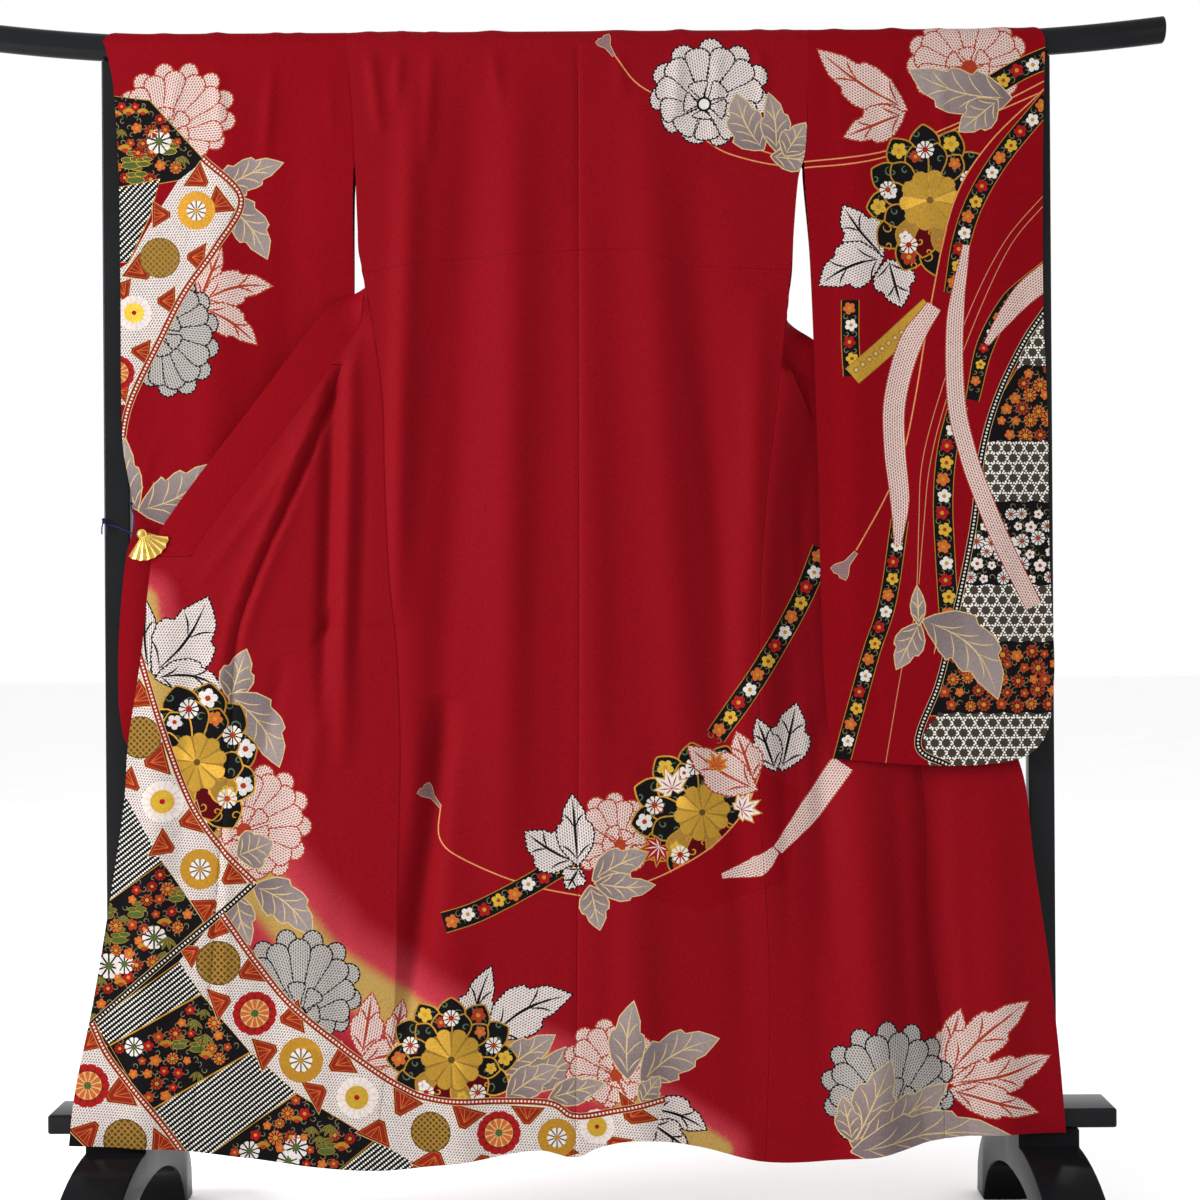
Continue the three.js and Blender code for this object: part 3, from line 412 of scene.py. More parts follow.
# %% Folds and creases: top (x, z), end (x, z), depth and half width, in millimetres
# A positive depth is a furrow and a negative one a ridge. The long ones are the drape, and the short ones
# are the creases that handling leaves.
BACK_FOLDS = [
    (-145, 1720, -216, 330, 10, 34), (-82, 1700, -106, 500, -11, 32), (-292, 1180, -244, 300, 6, 24),
    (-205, 720, -140, -300, -9, 34), (168, 1560, 240, 200, 9, 32), (96, 1690, 156, 560, -9, 34),
    (262, 1380, 225, 640, -11, 24), (70, 760, 95, -300, -11, 34), (-232, 1690, -262, 900, -9, 20),
    (14, 1500, 26, 300, -6, 26), (-190, 800, -256, 300, 22, 19),
]
BACK_CREASES = [
    (-296, 1740, -280, 1600, -3.6, 9), (-250, 1740, -256, 1640, -3.0, 8), (-205, 1740, -214, 1560, -3.4, 10),
    (-120, 1740, -108, 1640, -2.6, 9), (60, 1740, 66, 1650, -2.4, 10), (150, 1740, 140, 1610, -3.6, 10),
    (205, 1740, 196, 1580, -2.6, 9), (262, 1740, 270, 1630, -3.0, 8), (-188, 1420, -232, 980, 2.0, 17),
    (-252, 1300, -262, 900, -2.2, 15),
    (150, 1330, 205, 760, -2.0, 16), (230, 1250, 246, 820, 2.4, 15), (-55, 1180, -75, 700, 1.2, 18),
    (-170, 960, -196, 420, -1.8, 16), (196, 760, 214, 330, -1.8, 15), (30, 620, 44, 150, 1.4, 16),
]
LEFT_FRONT_FOLDS = [
    (-312, 1400, -520, 800, -9, 20), (-347, 1310, -368, 760, 11, 11), (-320, 1320, -338, 700, -9, 14),
    (-430, 900, -450, -300, 6, 34), (-590, 980, -640, -200, -6, 26),
]
LEFT_FRONT_CREASES = [
    (-330, 1330, -470, 990, 3.0, 10), (-372, 1180, -540, 960, -2.2, 11), (-300, 1180, -322, 820, 3.4, 10),
    (-340, 945, -378, 868, 4.5, 7), (-352, 900, -398, 600, -3.0, 14), (-420, 860, -470, 640, 3.0, 12),
    (-548, 900, -575, 480, 2.0, 14),
    (-498, 800, -510, 240, -2.2, 9), (-340, 560, -352, 180, 1.8, 16),
]
RIGHT_FRONT_FOLDS = [
    (500, 780, 528, -300, 19, 26), (400, 760, 436, -300, -21, 38), (590, 700, 606, -300, -8, 30),
]
RIGHT_FRONT_CREASES = [
    (344, 780, 362, 400, 8, 20), (300, 1100, 330, 600, -3.0, 12), (330, 760, 340, 240, 2.2, 15),
    (450, 690, 462, 200, 2.4, 12),
    (548, 640, 562, 220, 1.8, 14), (285, 900, 292, 420, 2.6, 10),
]
LEFT_SLEEVE_FOLDS = [(-396, 1700, -430, 900, 4, 30), (-500, 1700, -545, 760, -5, 34), (-606, 1400, -612, 800, 3, 20)]
LEFT_SLEEVE_CREASES = [
    (-352, 1738, -350, 1600, -2.4, 8), (-430, 1740, -446, 1560, -3.2, 9), (-515, 1740, -508, 1600, -3.0, 9),
    (-560, 1740, -590, 1580, -2.4, 9),
    (-620, 1500, -628, 1150, 1.6, 12), (-596, 1190, -636, 1070, -1.8, 9), (-380, 1400, -388, 1180, 1.2, 14),
]
RIGHT_SLEEVE_FOLDS = [
    (470, 1690, 452, 820, 4, 32), (400, 1690, 385, 720, -5, 24), (610, 1600, 590, 500, -5, 34),
]
RIGHT_SLEEVE_CREASES = [
    (372, 1740, 380, 1560, -2.6, 9), (455, 1740, 446, 1600, -3.4, 10), (520, 1740, 526, 1590, -2.6, 9),
    (610, 1740, 600, 1620, -3.0, 10), (640, 1500, 636, 1060, 1.4, 12), (360, 1260, 366, 900, 1.6, 10),
    (560, 1000, 570, 740, -1.6, 13), (420, 900, 428, 715, 1.4, 11),
]


def furrows(folds, x, z):
    depth = np.zeros(np.broadcast(x, z).shape)
    for x_top, z_top, x_end, z_end, deep, half in folds:
        t = (z_top * 0.001 - z) / ((z_top - z_end) * 0.001)
        offset = (x - mix(x_top, x_end, t) * 0.001) / (half * 0.001)
        swell = np.sqrt(np.sin(np.pi * np.clip(t, 0, 1)).clip(0))
        depth = depth + deep * 0.001 * swell * np.exp(-np.minimum(offset * offset, 30))
    return depth


print("folds:", len(BACK_FOLDS) + len(BACK_CREASES), "on the back")


# %% The bend over the rod
RIPPLES = [   # place, height and half width of the small gathers that stand off the rod, in millimetres
    (-592, 1.4, 12), (-515, 2.4, 11), (-430, 1.6, 9), (-398, 1.2, 8), (-296, 2.0, 14), (-250, 2.6, 10),
    (-205, 1.4, 9),
    (-120, 2.2, 16), (60, 1.6, 20), (150, 2.4, 12), (262, 1.6, 9), (300, 1.2, 8), (372, 1.8, 12), (455, 2.6, 13),
    (520, 1.4, 9), (610, 2.0, 17)]


def ripple(x):
    return sum(high * 0.001 * np.exp(-((x - place * 0.001) / (half * 0.001)) ** 2) for place, high, half in RIPPLES)


def over_rod(x, h, side, apart=0.0004):
    angle = (TOP - h) / ARC * math.pi / 2
    y = side * np.maximum(apart, CREST_DEEP * np.sin(angle))
    return x, y, ROD_MIDDLE + rod_lift(x) + (CREST_TALL + ripple(x)) * np.cos(angle)


def hung(x, h, depth, side, apart=0.0004):
    """Cloth that bends over the rod above its side and lies at the depth given below it."""
    bent = over_rod(x, np.maximum(h, ROD_MIDDLE), side, apart)
    below = h < ROD_MIDDLE
    z = h + rod_lift(x) * np.clip((h - 1.60) / (ROD_MIDDLE - 1.60), 0, 1)
    return x, np.where(below, depth, bent[1]), np.where(below, z, bent[2])


# %% Back panels
TUCK = 0.0018                  # how far behind its neighbour a seam's under edge lies
UNDER = 0.0014                 # how far under its neighbour it reaches
SIDE_UNDER = 0.0031            # the same at the side seams, where the front hangs at an angle


def back_depth(x, z):
    eased = smooth((ROD_MIDDLE - z) / 0.09)
    fine = smooth((ROD_MIDDLE - z) / 0.03) * furrows(BACK_CREASES, x, z)
    seam = 0.0012 * np.exp(-((x - CENTRE(z)) / 0.004) ** 2)
    return clear_of_rail(hang(z) + eased * furrows(BACK_FOLDS, x, z) + fine + seam, z)


def tucked(gap, z):
    """A seam's under edge: it lies behind its neighbour for a few millimetres, except against the rod."""
    return TUCK * (1 - smooth(gap / 0.0035)) * smooth((1.705 - z) / 0.02)


def back_place(x, h):
    return hung(x, h, back_depth(x, np.minimum(h, ROD_MIDDLE)), -1)


def right_back_place(x, h):
    z = np.minimum(h, ROD_MIDDLE)
    return hung(x, h, back_depth(x, z) + tucked(x - CENTRE(z) + UNDER, z), -1)


# %% The collar band's two edges
# The band runs from the neck down to the clip. On the way the whole front turns over, because it is drawn
# out with its patterned face to the viewer, and so the band turns over too.
BAND_WIDTH = 0.055
NECK = 0.089


class Band:
    def __init__(self, outward, turnover, spread, end, line, depth):
        self.outward, self.turnover, self.spread, self.end = outward, turnover, spread, end
        self.line, self.depth = curve(line), curve(depth)
        centres = np.arange(end - 0.060, TOP + 0.030, 0.001)
        x, h, y = self.edges(centres)[0]
        order = np.argsort(h)
        self.sewn_line = h[order], x[order], y[order]

    def edges(self, h):
        step = 0.004
        slope = (self.line(h + step) - self.line(h - step)) / (2 * step)
        length = np.hypot(slope, 1)
        nx, nh = self.outward / length, -self.outward * slope / length
        centre_x = self.line(h) - nx * BAND_WIDTH / 2
        centre_h = h - nh * BAND_WIDTH / 2
        turn = math.pi * smooth((self.turnover + self.spread - centre_h) / (2 * self.spread))
        half = BAND_WIDTH / 2 * (1 - 0.74 * np.sin(turn))
        y = self.depth(centre_h)

        def edge(reach):
            return (centre_x + reach * np.cos(turn) * nx, centre_h + reach * np.cos(turn) * nh,
                    y - reach * np.sin(turn))

        return edge(half), edge(-half)

    def sewn_at(self, z):
        """Place and depth of the sewn edge at height z."""
        h, x, y = self.sewn_line
        return np.interp(z, h, x), np.interp(z, h, y)


LEFT_BAND = Band(
    -1, 1.392, 0.062, 1.001,
    [(1762.4, -89), (1600, -184), (1419, -312), (1230, -453), (1038, -595.7), (985, -611)],
    [(1732, 18.35), (1600, 15), (1480, 6), (1400, -7), (1330, -19), (1230, -26), (1035, -32), (980, -32.4)])
RIGHT_BAND = Band(
    1, 1.338, 0.060, 0.958,
    [(1762.4, 89), (1560, 205), (1346, 325), (1165, 410), (984, 494), (940, 516)],
    [(1732, 18.35), (1600, 15), (1460, 5), (1338, -7), (1250, -8), (985, -8), (930, -9)])


# %% Front panels
SEAM_PULL = 0.0085             # half width of the crease that a seam under strain pulls in


class Front:
    def __init__(self, outward, side, seam, free, band, folds, tip, side_top, valley, side_depth, edge_depth, pull):
        self.outward, self.side, self.seam, self.free, self.band = outward, side, seam, free, band
        self.tip, self.level = tip, band.turnover - 0.075
        self.folds, self.side_top, self.valley = folds, side_top, valley
        self.side_depth, self.edge_depth, self.pull = curve(side_depth), curve(edge_depth), curve(pull)

    def side_edge(self, z):
        loose = smooth((z - (self.band.turnover - 0.060)) / 0.050)
        above = smooth((z - self.side_top - 0.040) / 0.060)
        gap = mix(mix(CORNER_SEAM, 0.0014, loose), 0.0, above)
        x = self.side(z) + self.outward * gap
        y = np.where(z >= self.side_top, self.side_depth(z), back_depth(self.side(z), z) + 0.0014 * loose)
        return x, y

    def inner_edge(self, z):
        sewn = self.band.sewn_at(np.maximum(z, self.band.end))
        on_band = z >= self.band.end
        return np.where(on_band, sewn[0], self.free(z)), np.where(on_band, sewn[1], self.edge_depth(z))

    def depth(self, x, z):
        sx, sy = self.side_edge(z)
        ex, ey = self.inner_edge(z)
        t = np.clip((x - sx) / np.where(np.abs(ex - sx) < 1e-4, 1e-4, ex - sx), 0, 1)
        below = smooth((self.band.turnover - 0.030 - z) / 0.060)
        quick = smooth(np.abs(x - sx) / self.valley) if self.valley else t
        y = mix(sy, ey, mix(t, quick, below))
        edgeward = np.minimum(np.abs(x - sx), np.where(z > self.band.end, np.abs(x - ex), 0.060))
        free = below * smooth(edgeward / 0.045)
        side_tuck = tucked(self.outward * (x - sx) + SIDE_UNDER, z) * below
        crease = self.pull(z) * np.exp(-np.minimum(((x - self.seam(z)) / SEAM_PULL) ** 2, 30)) * smooth(edgeward / 0.02)
        return clear_of_rail(y + free * furrows(self.folds, x, z) + crease, z) + side_tuck

    def ruled(self, x, h):
        """Above the turnover the front is ruled from its side to the collar band, over an even strip."""
        level = self.level
        side, inner = self.side_edge(level)[0], self.inner_edge(level)[0]
        under = self.outward * np.minimum(self.outward * (x - side), 0.0)
        share = (x - side - under) / (inner - side) * (1 - 0.004)
        z = np.minimum(h, ROD_MIDDLE)
        sx, sy = self.side_edge(z)
        ex, ey = self.inner_edge(z)
        flat = mix(sx, ex, share) + under, mix(sy, ey, share) + np.abs(under) * 0.5, z
        bent = over_rod(mix(self.side(TOP), self.band.line(h), share), np.maximum(h, ROD_MIDDLE), 1)
        return [np.where(h < ROD_MIDDLE, f, b) for f, b in zip(flat, bent)]

    def okumi_place(self, x, h):
        x, y, z = self.place(x, h)
        return x, y + tucked(self.outward * (x - self.seam(h)) + UNDER, z), z

    def place(self, x, h):
        upper = self.ruled(x, np.maximum(h, self.level))
        lower = x, self.depth(x, np.minimum(h, self.level)), h + 0.0 * x
        return [np.where(h > self.level, u, w) for u, w in zip(upper, lower)]


LEFT_FRONT = Front(
    -1, LEFT_SIDE, LEFT_OKUMI, LEFT_FREE, LEFT_BAND, LEFT_FRONT_FOLDS + LEFT_FRONT_CREASES,
    1.274, 1.421, 0,
    [(1732, 18.35), (1640, 15.5), (1556, 12), (1480, -2), (1450, -10), (1421, -19.4)],
    [(1002, -32.2), (700, -36), (400, -42.5), (209, -47.5), (150, -48)],
    [(1290, 0), (1225, 10), (1000, 12), (870, 8), (770, 4), (600, 2), (150, 1)])
RIGHT_FRONT = Front(
    1, RIGHT_SIDE, RIGHT_OKUMI, RIGHT_FREE, RIGHT_BAND, RIGHT_FRONT_FOLDS + RIGHT_FRONT_CREASES,
    1.150, 1.404, 0.062,
    [(1732, 18.35), (1640, 15.5), (1556, 12), (1480, -1), (1440, -10), (1404, -19.6)],
    [(960, -8.4), (820, -11.5), (690, -17.5), (560, -28), (400, -39), (209, -46.5), (150, -47)],
    [(1200, 0), (800, 2), (150, 2)])


# %% Sleeves
CUFF_HEIGHT = 1.520
CUFF_INSET = 0.640
SEWN = 0.0022


class Sleeve:
    """One width folded over the rod. Flat places beyond TOP lie on the far wall."""

    def __init__(self, outward, folds, body, inner, outer, bottom, near, far):
        self.outward, self.folds, self.body = outward, folds, body
        self.inner, self.outer, self.bottom = curve(inner), curve(outer), curve(bottom)
        self.near_wall, self.far_wall = curve(near), curve(far)
        self.rim_near, self.rim_far = -0.0162, -0.0143

    def inner_x(self, z):
        return np.where(z > 1.556, np.abs(self.body(z)) - UNDER * smooth((1.700 - z) / 0.015), np.abs(self.inner(z)))

    def outer_x(self, z, far):
        edge = np.abs(self.outer(z))
        return np.where(far, mix(edge, CUFF_INSET, smooth((z - CUFF_HEIGHT) / 0.004)), edge)

    def edges_at(self, v):
        far = v > TOP
        h = np.where(far, 2 * TOP - v, v)
        z = np.minimum(h, ROD_MIDDLE + CREST_TALL)
        over = np.clip((v - TOP + ARC) / (2 * ARC), 0, 1)
        crest = mix(np.abs(self.outer(ROD_MIDDLE + CREST_TALL)), CUFF_INSET, over)
        return self.inner_x(z), np.where(h > ROD_MIDDLE, crest, self.outer_x(z, far))

    def depths(self, x, z, u):
        lower = smooth((1.590 - z) / 0.110)
        toward = lower * smooth(u) if self.outward < 0 else 0.0
        bulge = 0.002 * lower * np.sin(np.pi * u) if self.outward > 0 else 0.0
        near = mix(self.near_wall(z), self.rim_near, toward) - bulge
        rim = np.minimum(self.rim_far, self.near_wall(z) + SEWN) if self.outward > 0 else self.rim_far
        far = mix(self.far_wall(z), rim, smooth((1.660 - z) / 0.110) * smooth(u * 1.15))
        fall = (1.470 - z) / (1.470 - self.bottom(u))
        closed = smooth((fall - 0.86) / 0.14)
        far = np.maximum(mix(far, near + SEWN, closed), near + SEWN)
        slack = np.sin(np.pi * u).clip(0) ** 0.7 * smooth((ROD_MIDDLE - z) / 0.09) * (1 - 0.6 * closed)
        fold = slack * furrows(self.folds, x, z)
        return near + fold, far + 0.7 * fold + 0.0006 * slack

    def place(self, x, v):
        far = v > TOP
        h = np.where(far, 2 * TOP - v, v)
        inner, outer = self.edges_at(v)
        u = np.clip((np.abs(x) - inner) / (outer - inner), 0, 1)
        near, back = self.depths(x, np.minimum(h, ROD_MIDDLE), u)
        near = near + tucked(np.abs(x) - inner + UNDER, h) * (h > 1.556)
        return hung(x, h, np.where(far, back, near), np.where(far, 1, -1), 0.0)

    def outline(self, pitch):
        """The near wall's bottom, the outer edge over the crest, the far bottom and back up the inner edge."""
        u = np.linspace(0, 1, int(0.34 / pitch))
        u = np.concatenate([u[:-1], np.linspace(u[-2], 1, 10)[1:]])
        bottom = self.bottom(u)
        inner, outer = self.inner_x(bottom), np.abs(self.outer(bottom))
        near = np.column_stack([mix(inner, outer, u), bottom])
        far = near[::-1] * (1, -1) + (0, 2 * TOP)
        rise = np.linspace(bottom[-1], 2 * TOP - bottom[-1], int(1.94 / pitch))[1:-1]
        cuff = 2 * TOP - np.array([CUFF_HEIGHT - 0.001, CUFF_HEIGHT + 0.002, CUFF_HEIGHT + 0.005])
        rise = np.sort(np.concatenate([rise, cuff]))
        fall = np.linspace(2 * TOP - bottom[0], bottom[0], int(2.12 / pitch))[1:-1]
        line = np.vstack([near, np.column_stack([self.edges_at(rise)[1], rise]), far,
                          np.column_stack([self.edges_at(fall)[0], fall])])
        line[:, 0] *= self.outward
        return line if self.outward > 0 else line[::-1]


LEFT_SLEEVE = Sleeve(
    -1, LEFT_SLEEVE_FOLDS + LEFT_SLEEVE_CREASES, LEFT_SIDE,
    [(1752, -329.3), (1649, -320.7), (1560, -318.6), (1510, -320.4), (1400, -321), (700, -326)],
    [(1754, -679), (1714, -669), (1671, -661), (1560, -655), (1400, -653.4), (1168, -652), (1110, -643.5),
     (1086, -638.6), (1040, -638.4), (1005, -647), (933, -655.6), (861, -660), (790, -660)],
    [(0, 700), (500, 697), (820, 702), (930, 716), (980, 745), (1000, 788)],
    [(1732, -18.35), (1560, -18.6), (1480, -13), (1400, -2), (1300, 0), (700, -2)],
    [(1732, 18.35), (1640, 15.5), (1556, 12), (1450, 8), (1300, 6), (700, 2.4)])
RIGHT_SLEEVE = Sleeve(
    1, RIGHT_SLEEVE_FOLDS + RIGHT_SLEEVE_CREASES, RIGHT_SIDE,
    [(1752, 334.3), (1644, 331.7), (1571, 327.4), (1545, 326.5), (1428, 333.7), (1145, 342.5), (848, 348.3),
     (700, 357)],
    [(1752, 673), (1625, 668.6), (1355, 666), (1185, 671), (987, 671.6), (846, 677), (799, 675)],
    [(0, 707), (500, 696), (820, 703), (930, 722), (980, 752), (1000, 798)],
    [(1732, -18.35), (1560, -18.8), (1300, -22), (700, -31)],
    [(1732, 18.35), (1640, 15.5), (1556, 12), (1480, -2), (1420, -12), (1340, -15.5), (1000, -17), (700, -25)])
print("panels placed")
# %% [markdown]
# ## Drawing on flat silk
# A yuzen dyer draws outlines in paste, fills them with colour, and adds tied dots and gold thread. The same
# order is kept: each motif is a list of flat shapes, and a later shape lies on an earlier one. All the tools
# below return such lists. Flowers, leaves, ribbons and cords are then set out on a layout grid whose unit
# is 1.44 mm, with columns counted to the right and rows counted down.

# %% A dyed shape
GRID_UNIT = 0.00144
GRID_MIDDLE = 600
LAYOUT_CENTRE = (0.030, 0.9346)
VIEW_DISTANCE = 2.8


def at(column, row):
    """A place on the layout grid, moved to the cloth's depth, in metres on the flat."""
    across, up = column - GRID_MIDDLE, GRID_MIDDLE - row
    x, z = across + up * ROLL, up - across * ROLL
    scale = GRID_UNIT / (1 - hang(LAYOUT_CENTRE[1] + z * GRID_UNIT) / VIEW_DISTANCE)
    return np.array([LAYOUT_CENTRE[0] + x * scale, LAYOUT_CENTRE[1] + z * scale])


def line_at(*places):
    return np.array([at(*place) for place in places])


def signed_area(polygon):
    x, y = polygon.T
    return 0.5 * float(np.sum(x * np.roll(y, -1) - y * np.roll(x, -1)))


EDGE_STEP = 0.009


def divided(points):
    """Adds corners to a closed outline, so that its edges can follow the folds."""
    rows = []
    for a, b in zip(points, np.roll(points, -1, axis=0)):
        count = int(np.hypot(*(b - a)) / EDGE_STEP) + 1
        rows.append(a + (b - a) * np.arange(count)[:, None] / count)
    return np.vstack(rows)


class Shape:
    """A flat shape: its colour or two colours and the way they run, its craft, and its thread direction."""

    def __init__(self, points, dye, craft=(0, 0, 0, 0), grain=0.0, fade=None, path=None):
        points = divided(np.asarray(points, dtype=float))
        self.points = points[::-1] if signed_area(points) < 0 else points
        self.dye, self.craft, self.grain, self.fade, self.path = dye, craft, grain, fade, path

    def dye_at(self, flat):
        if self.fade is None:
            return np.tile(np.array(self.dye), (len(flat), 1))
        start, end, second = self.fade
        way = np.array(end) - np.array(start)
        t = smooth(np.clip((flat - start) @ way / (way @ way), 0, 1))[:, None]
        return np.array(self.dye) * (1 - t) + np.array(second) * t

    def grain_at(self, flat):
        if self.path is not None:
            return along_path(flat, self.path)
        origin = self.points[0]
        c, s = math.cos(self.grain), math.sin(self.grain)
        moved = flat - origin
        return np.column_stack([moved @ (c, s), moved @ (-s, c)])


def along_path(flat, path):
    """Length along the nearest stretch of the path, and distance to its left."""
    best = np.full(len(flat), 1e9)
    found = np.zeros((len(flat), 2))
    travelled = 0.0
    for a, b in zip(path, path[1:]):
        way = b - a
        length = float(np.hypot(*way))
        unit = way / max(length, 1e-9)
        t = np.clip((flat - a) @ unit, 0, length)
        off = flat - a - t[:, None] * unit
        far = np.hypot(*off.T)
        nearer = far < best
        left = off @ np.array([-unit[1], unit[0]])
        found[nearer] = np.column_stack([travelled + t, left])[nearer]
        best[nearer] = far[nearer]
        travelled += length
    return found


# %% Dyes
KANOKO_CRAFT, GOLD_CRAFT, BEAD_CRAFT, LATTICE_CRAFT = (1, 0, 0, 0), (0, 1, 0, 0), (0, 0, 1, 0), (0, 0, 0, 1)
PLAIN = (0, 0, 0, 0)


def dye_of(red, green, blue):
    """A colour as a dyer's chart gives it, 0 to 255, made linear."""
    return tuple((c / 255 / 12.92) if c <= 10 else ((c / 255 + 0.055) / 1.055) ** 2.4 for c in (red, green, blue))


RED = dye_of(146, 6, 21)
SHELL = dye_of(242, 234, 228)
BLUSH = dye_of(244, 216, 206)
MIST = dye_of(196, 194, 188)
INK = dye_of(22, 20, 22)
RUST = dye_of(176, 62, 36)
SCARLET = dye_of(178, 28, 30)
ORANGE = dye_of(214, 110, 50)
GOLD = dye_of(206, 150, 52)
GILT = dye_of(214, 166, 62)
MOSS = dye_of(88, 112, 86)
CREAM = dye_of(226, 196, 140)
YELLOW = dye_of(222, 180, 62)
LEAF_GREY = dye_of(134, 118, 120)
LEAF_PALE = dye_of(170, 154, 150)
GREEN = dye_of(86, 104, 50)
OLIVE = dye_of(110, 84, 36)
BRONZE = dye_of(172, 130, 58)
SCROLL = dye_of(132, 120, 84)
BRICK = dye_of(128, 34, 24)
TOOTH = dye_of(150, 42, 26)
LATTICE_GREY = dye_of(74, 66, 58)
LILAC = dye_of(150, 116, 118)
WINE = dye_of(92, 6, 16)
print("dyes ready")


# %% Lines and outlines
def smoothed(points, steps=8, closed=False):
    """A Catmull-Rom line through flat points."""
    points = np.asarray(points, dtype=float)
    if closed:
        ring = np.vstack([points[-1], points, points[:2]])
    else:
        ring = np.vstack([2 * points[0] - points[1], points, 2 * points[-1] - points[-2]])
    line = []
    for k in range(1, len(ring) - 2):
        p0, p1, p2, p3 = ring[k - 1:k + 3]
        for t in np.linspace(0, 1, steps, endpoint=False):
            line.append(0.5 * (2 * p1 + (p2 - p0) * t + (2 * p0 - 5 * p1 + 4 * p2 - p3) * t * t
                               + (3 * p1 - p0 - 3 * p2 + p3) * t**3))
    return np.array(line if closed else line + [points[-1]])


def offsets(line, half):
    """The line moved to both sides by half, a number or one number for each point."""
    way = np.gradient(line, axis=0)
    way /= np.maximum(np.hypot(*way.T), 1e-9)[:, None]
    side = np.column_stack([-way[:, 1], way[:, 0]])
    half = np.broadcast_to(half, len(line))[:, None]
    return line + side * half, line - side * half


def stroke(line, half, dye, craft=PLAIN, taper=0.0):
    """A line of paste or thread with pointed ends when taper is 1."""
    t = np.linspace(0, 1, len(line))
    width = half * (1 - taper * np.abs(2 * t - 1) ** 2 * 0.85)
    left, right = offsets(line, width)
    return Shape(np.vstack([left, right[::-1]]), dye, craft, path=line)


def placed(profile, base, tip, width):
    """Turns a profile of (along, across) shares into a shape between two points."""
    base, tip = np.asarray(base), np.asarray(tip)
    way = tip - base
    length = np.hypot(*way)
    unit = way / length
    side = np.array([-unit[1], unit[0]])
    return base + profile[:, :1] * way + profile[:, 1:] * side * width


def jagged(points, depth):
    """Small teeth on a closed outline, as tied dots leave."""
    middle = points.mean(axis=0)
    out = points - middle
    out /= np.maximum(np.hypot(*out.T), 1e-9)[:, None]
    teeth = np.where(np.arange(len(points)) % 2 == 0, depth, -depth)[:, None]
    return points + out * teeth


def resampled(points, step):
    closed = np.vstack([points, points[:1]])
    length = np.concatenate([[0], np.cumsum(np.hypot(*np.diff(closed, axis=0).T))])
    count = max(6, 2 * int(length[-1] / step / 2))
    even = np.linspace(0, length[-1], count, endpoint=False)
    return np.column_stack([np.interp(even, length, closed[:, k]) for k in range(2)])


def shrunk(points, distance):
    """A closed shape drawn smaller by about a distance on each side."""
    if signed_area(points) < 0:
        points = points[::-1]
    along = np.roll(points, -1, axis=0) - np.roll(points, 1, axis=0)
    along /= np.maximum(np.hypot(*along.T), 1e-9)[:, None]
    return points + np.column_stack([-along[:, 1], along[:, 0]]) * distance


def disc(centre, radius, dye, craft=PLAIN, sides=18, grain=0.0):
    turn = np.linspace(0, 2 * np.pi, sides, endpoint=False)
    return Shape(np.asarray(centre) + radius * np.column_stack([np.cos(turn), np.sin(turn)]), dye, craft, grain)


# %% Tests on flat shapes
def inside(points, polygon):
    x, y = points[:, 0:1], points[:, 1:2]
    a, b = polygon, np.roll(polygon, -1, axis=0)
    rise = np.where(b[:, 1] == a[:, 1], 1e-12, b[:, 1] - a[:, 1])
    crosses = (a[:, 1] > y) != (b[:, 1] > y)
    hit = crosses & (x < a[:, 0] + (b[:, 0] - a[:, 0]) * (y - a[:, 1]) / rise)
    return hit.sum(axis=1) % 2 == 1


def off_edge(points, polygon, gap):
    keep = np.ones(len(points), bool)
    for a, b in zip(polygon, np.roll(polygon, -1, axis=0)):
        along = b - a
        t = np.clip((points - a) @ along / max(along @ along, 1e-12), 0, 1)
        keep &= np.hypot(*(points - a - t[:, None] * along).T) > gap
    return keep


# %% Places along a line and rays from a heart
def travelled(line):
    """Length along the line at each of its points."""
    return np.concatenate([[0], np.cumsum(np.hypot(*np.diff(line, axis=0).T))])


def place_along(line, length, place):
    return np.array([np.interp(place, length, line[:, c]) for c in range(2)])


def ray_at(angle, squash=(1, 1)):
    return np.array([math.cos(angle) * squash[0], math.sin(angle) * squash[1]])


# %% Petals and flowers
def petal_profile():
    """Narrow at the base, widest near the rounded tip."""
    t = np.array([0.0, 0.25, 0.5, 0.74, 0.88, 0.96, 1.0])
    w = np.array([0.10, 0.34, 0.64, 0.94, 0.98, 0.70, 0.26])
    return np.vstack([np.column_stack([t, w / 2]), np.column_stack([t[::-1], -w[::-1] / 2])])


PETAL = petal_profile()


def tied_petal(base, tip, width, dye, edge):
    outline, tooth = (0.0019, 0.0010) if width > 0.016 else (0.0012, 0.0004)
    way = np.asarray(tip) - np.asarray(base)
    edgeways = way / np.hypot(*way) * outline
    whole = smoothed(placed(PETAL, base, tip, width), 3, closed=True)
    inner = resampled(smoothed(placed(PETAL, base + edgeways * 2, tip - edgeways, width - 2 * outline), 3, closed=True),
                      0.0032)
    return [Shape(resampled(whole, 0.0045), edge),
            Shape(jagged(inner, tooth), dye, KANOKO_CRAFT, grain=math.atan2(way[1], way[0]))]


def petal_width(reach, count, overlap=1.08):
    return 2 * math.pi * 0.8 * reach / count * overlap


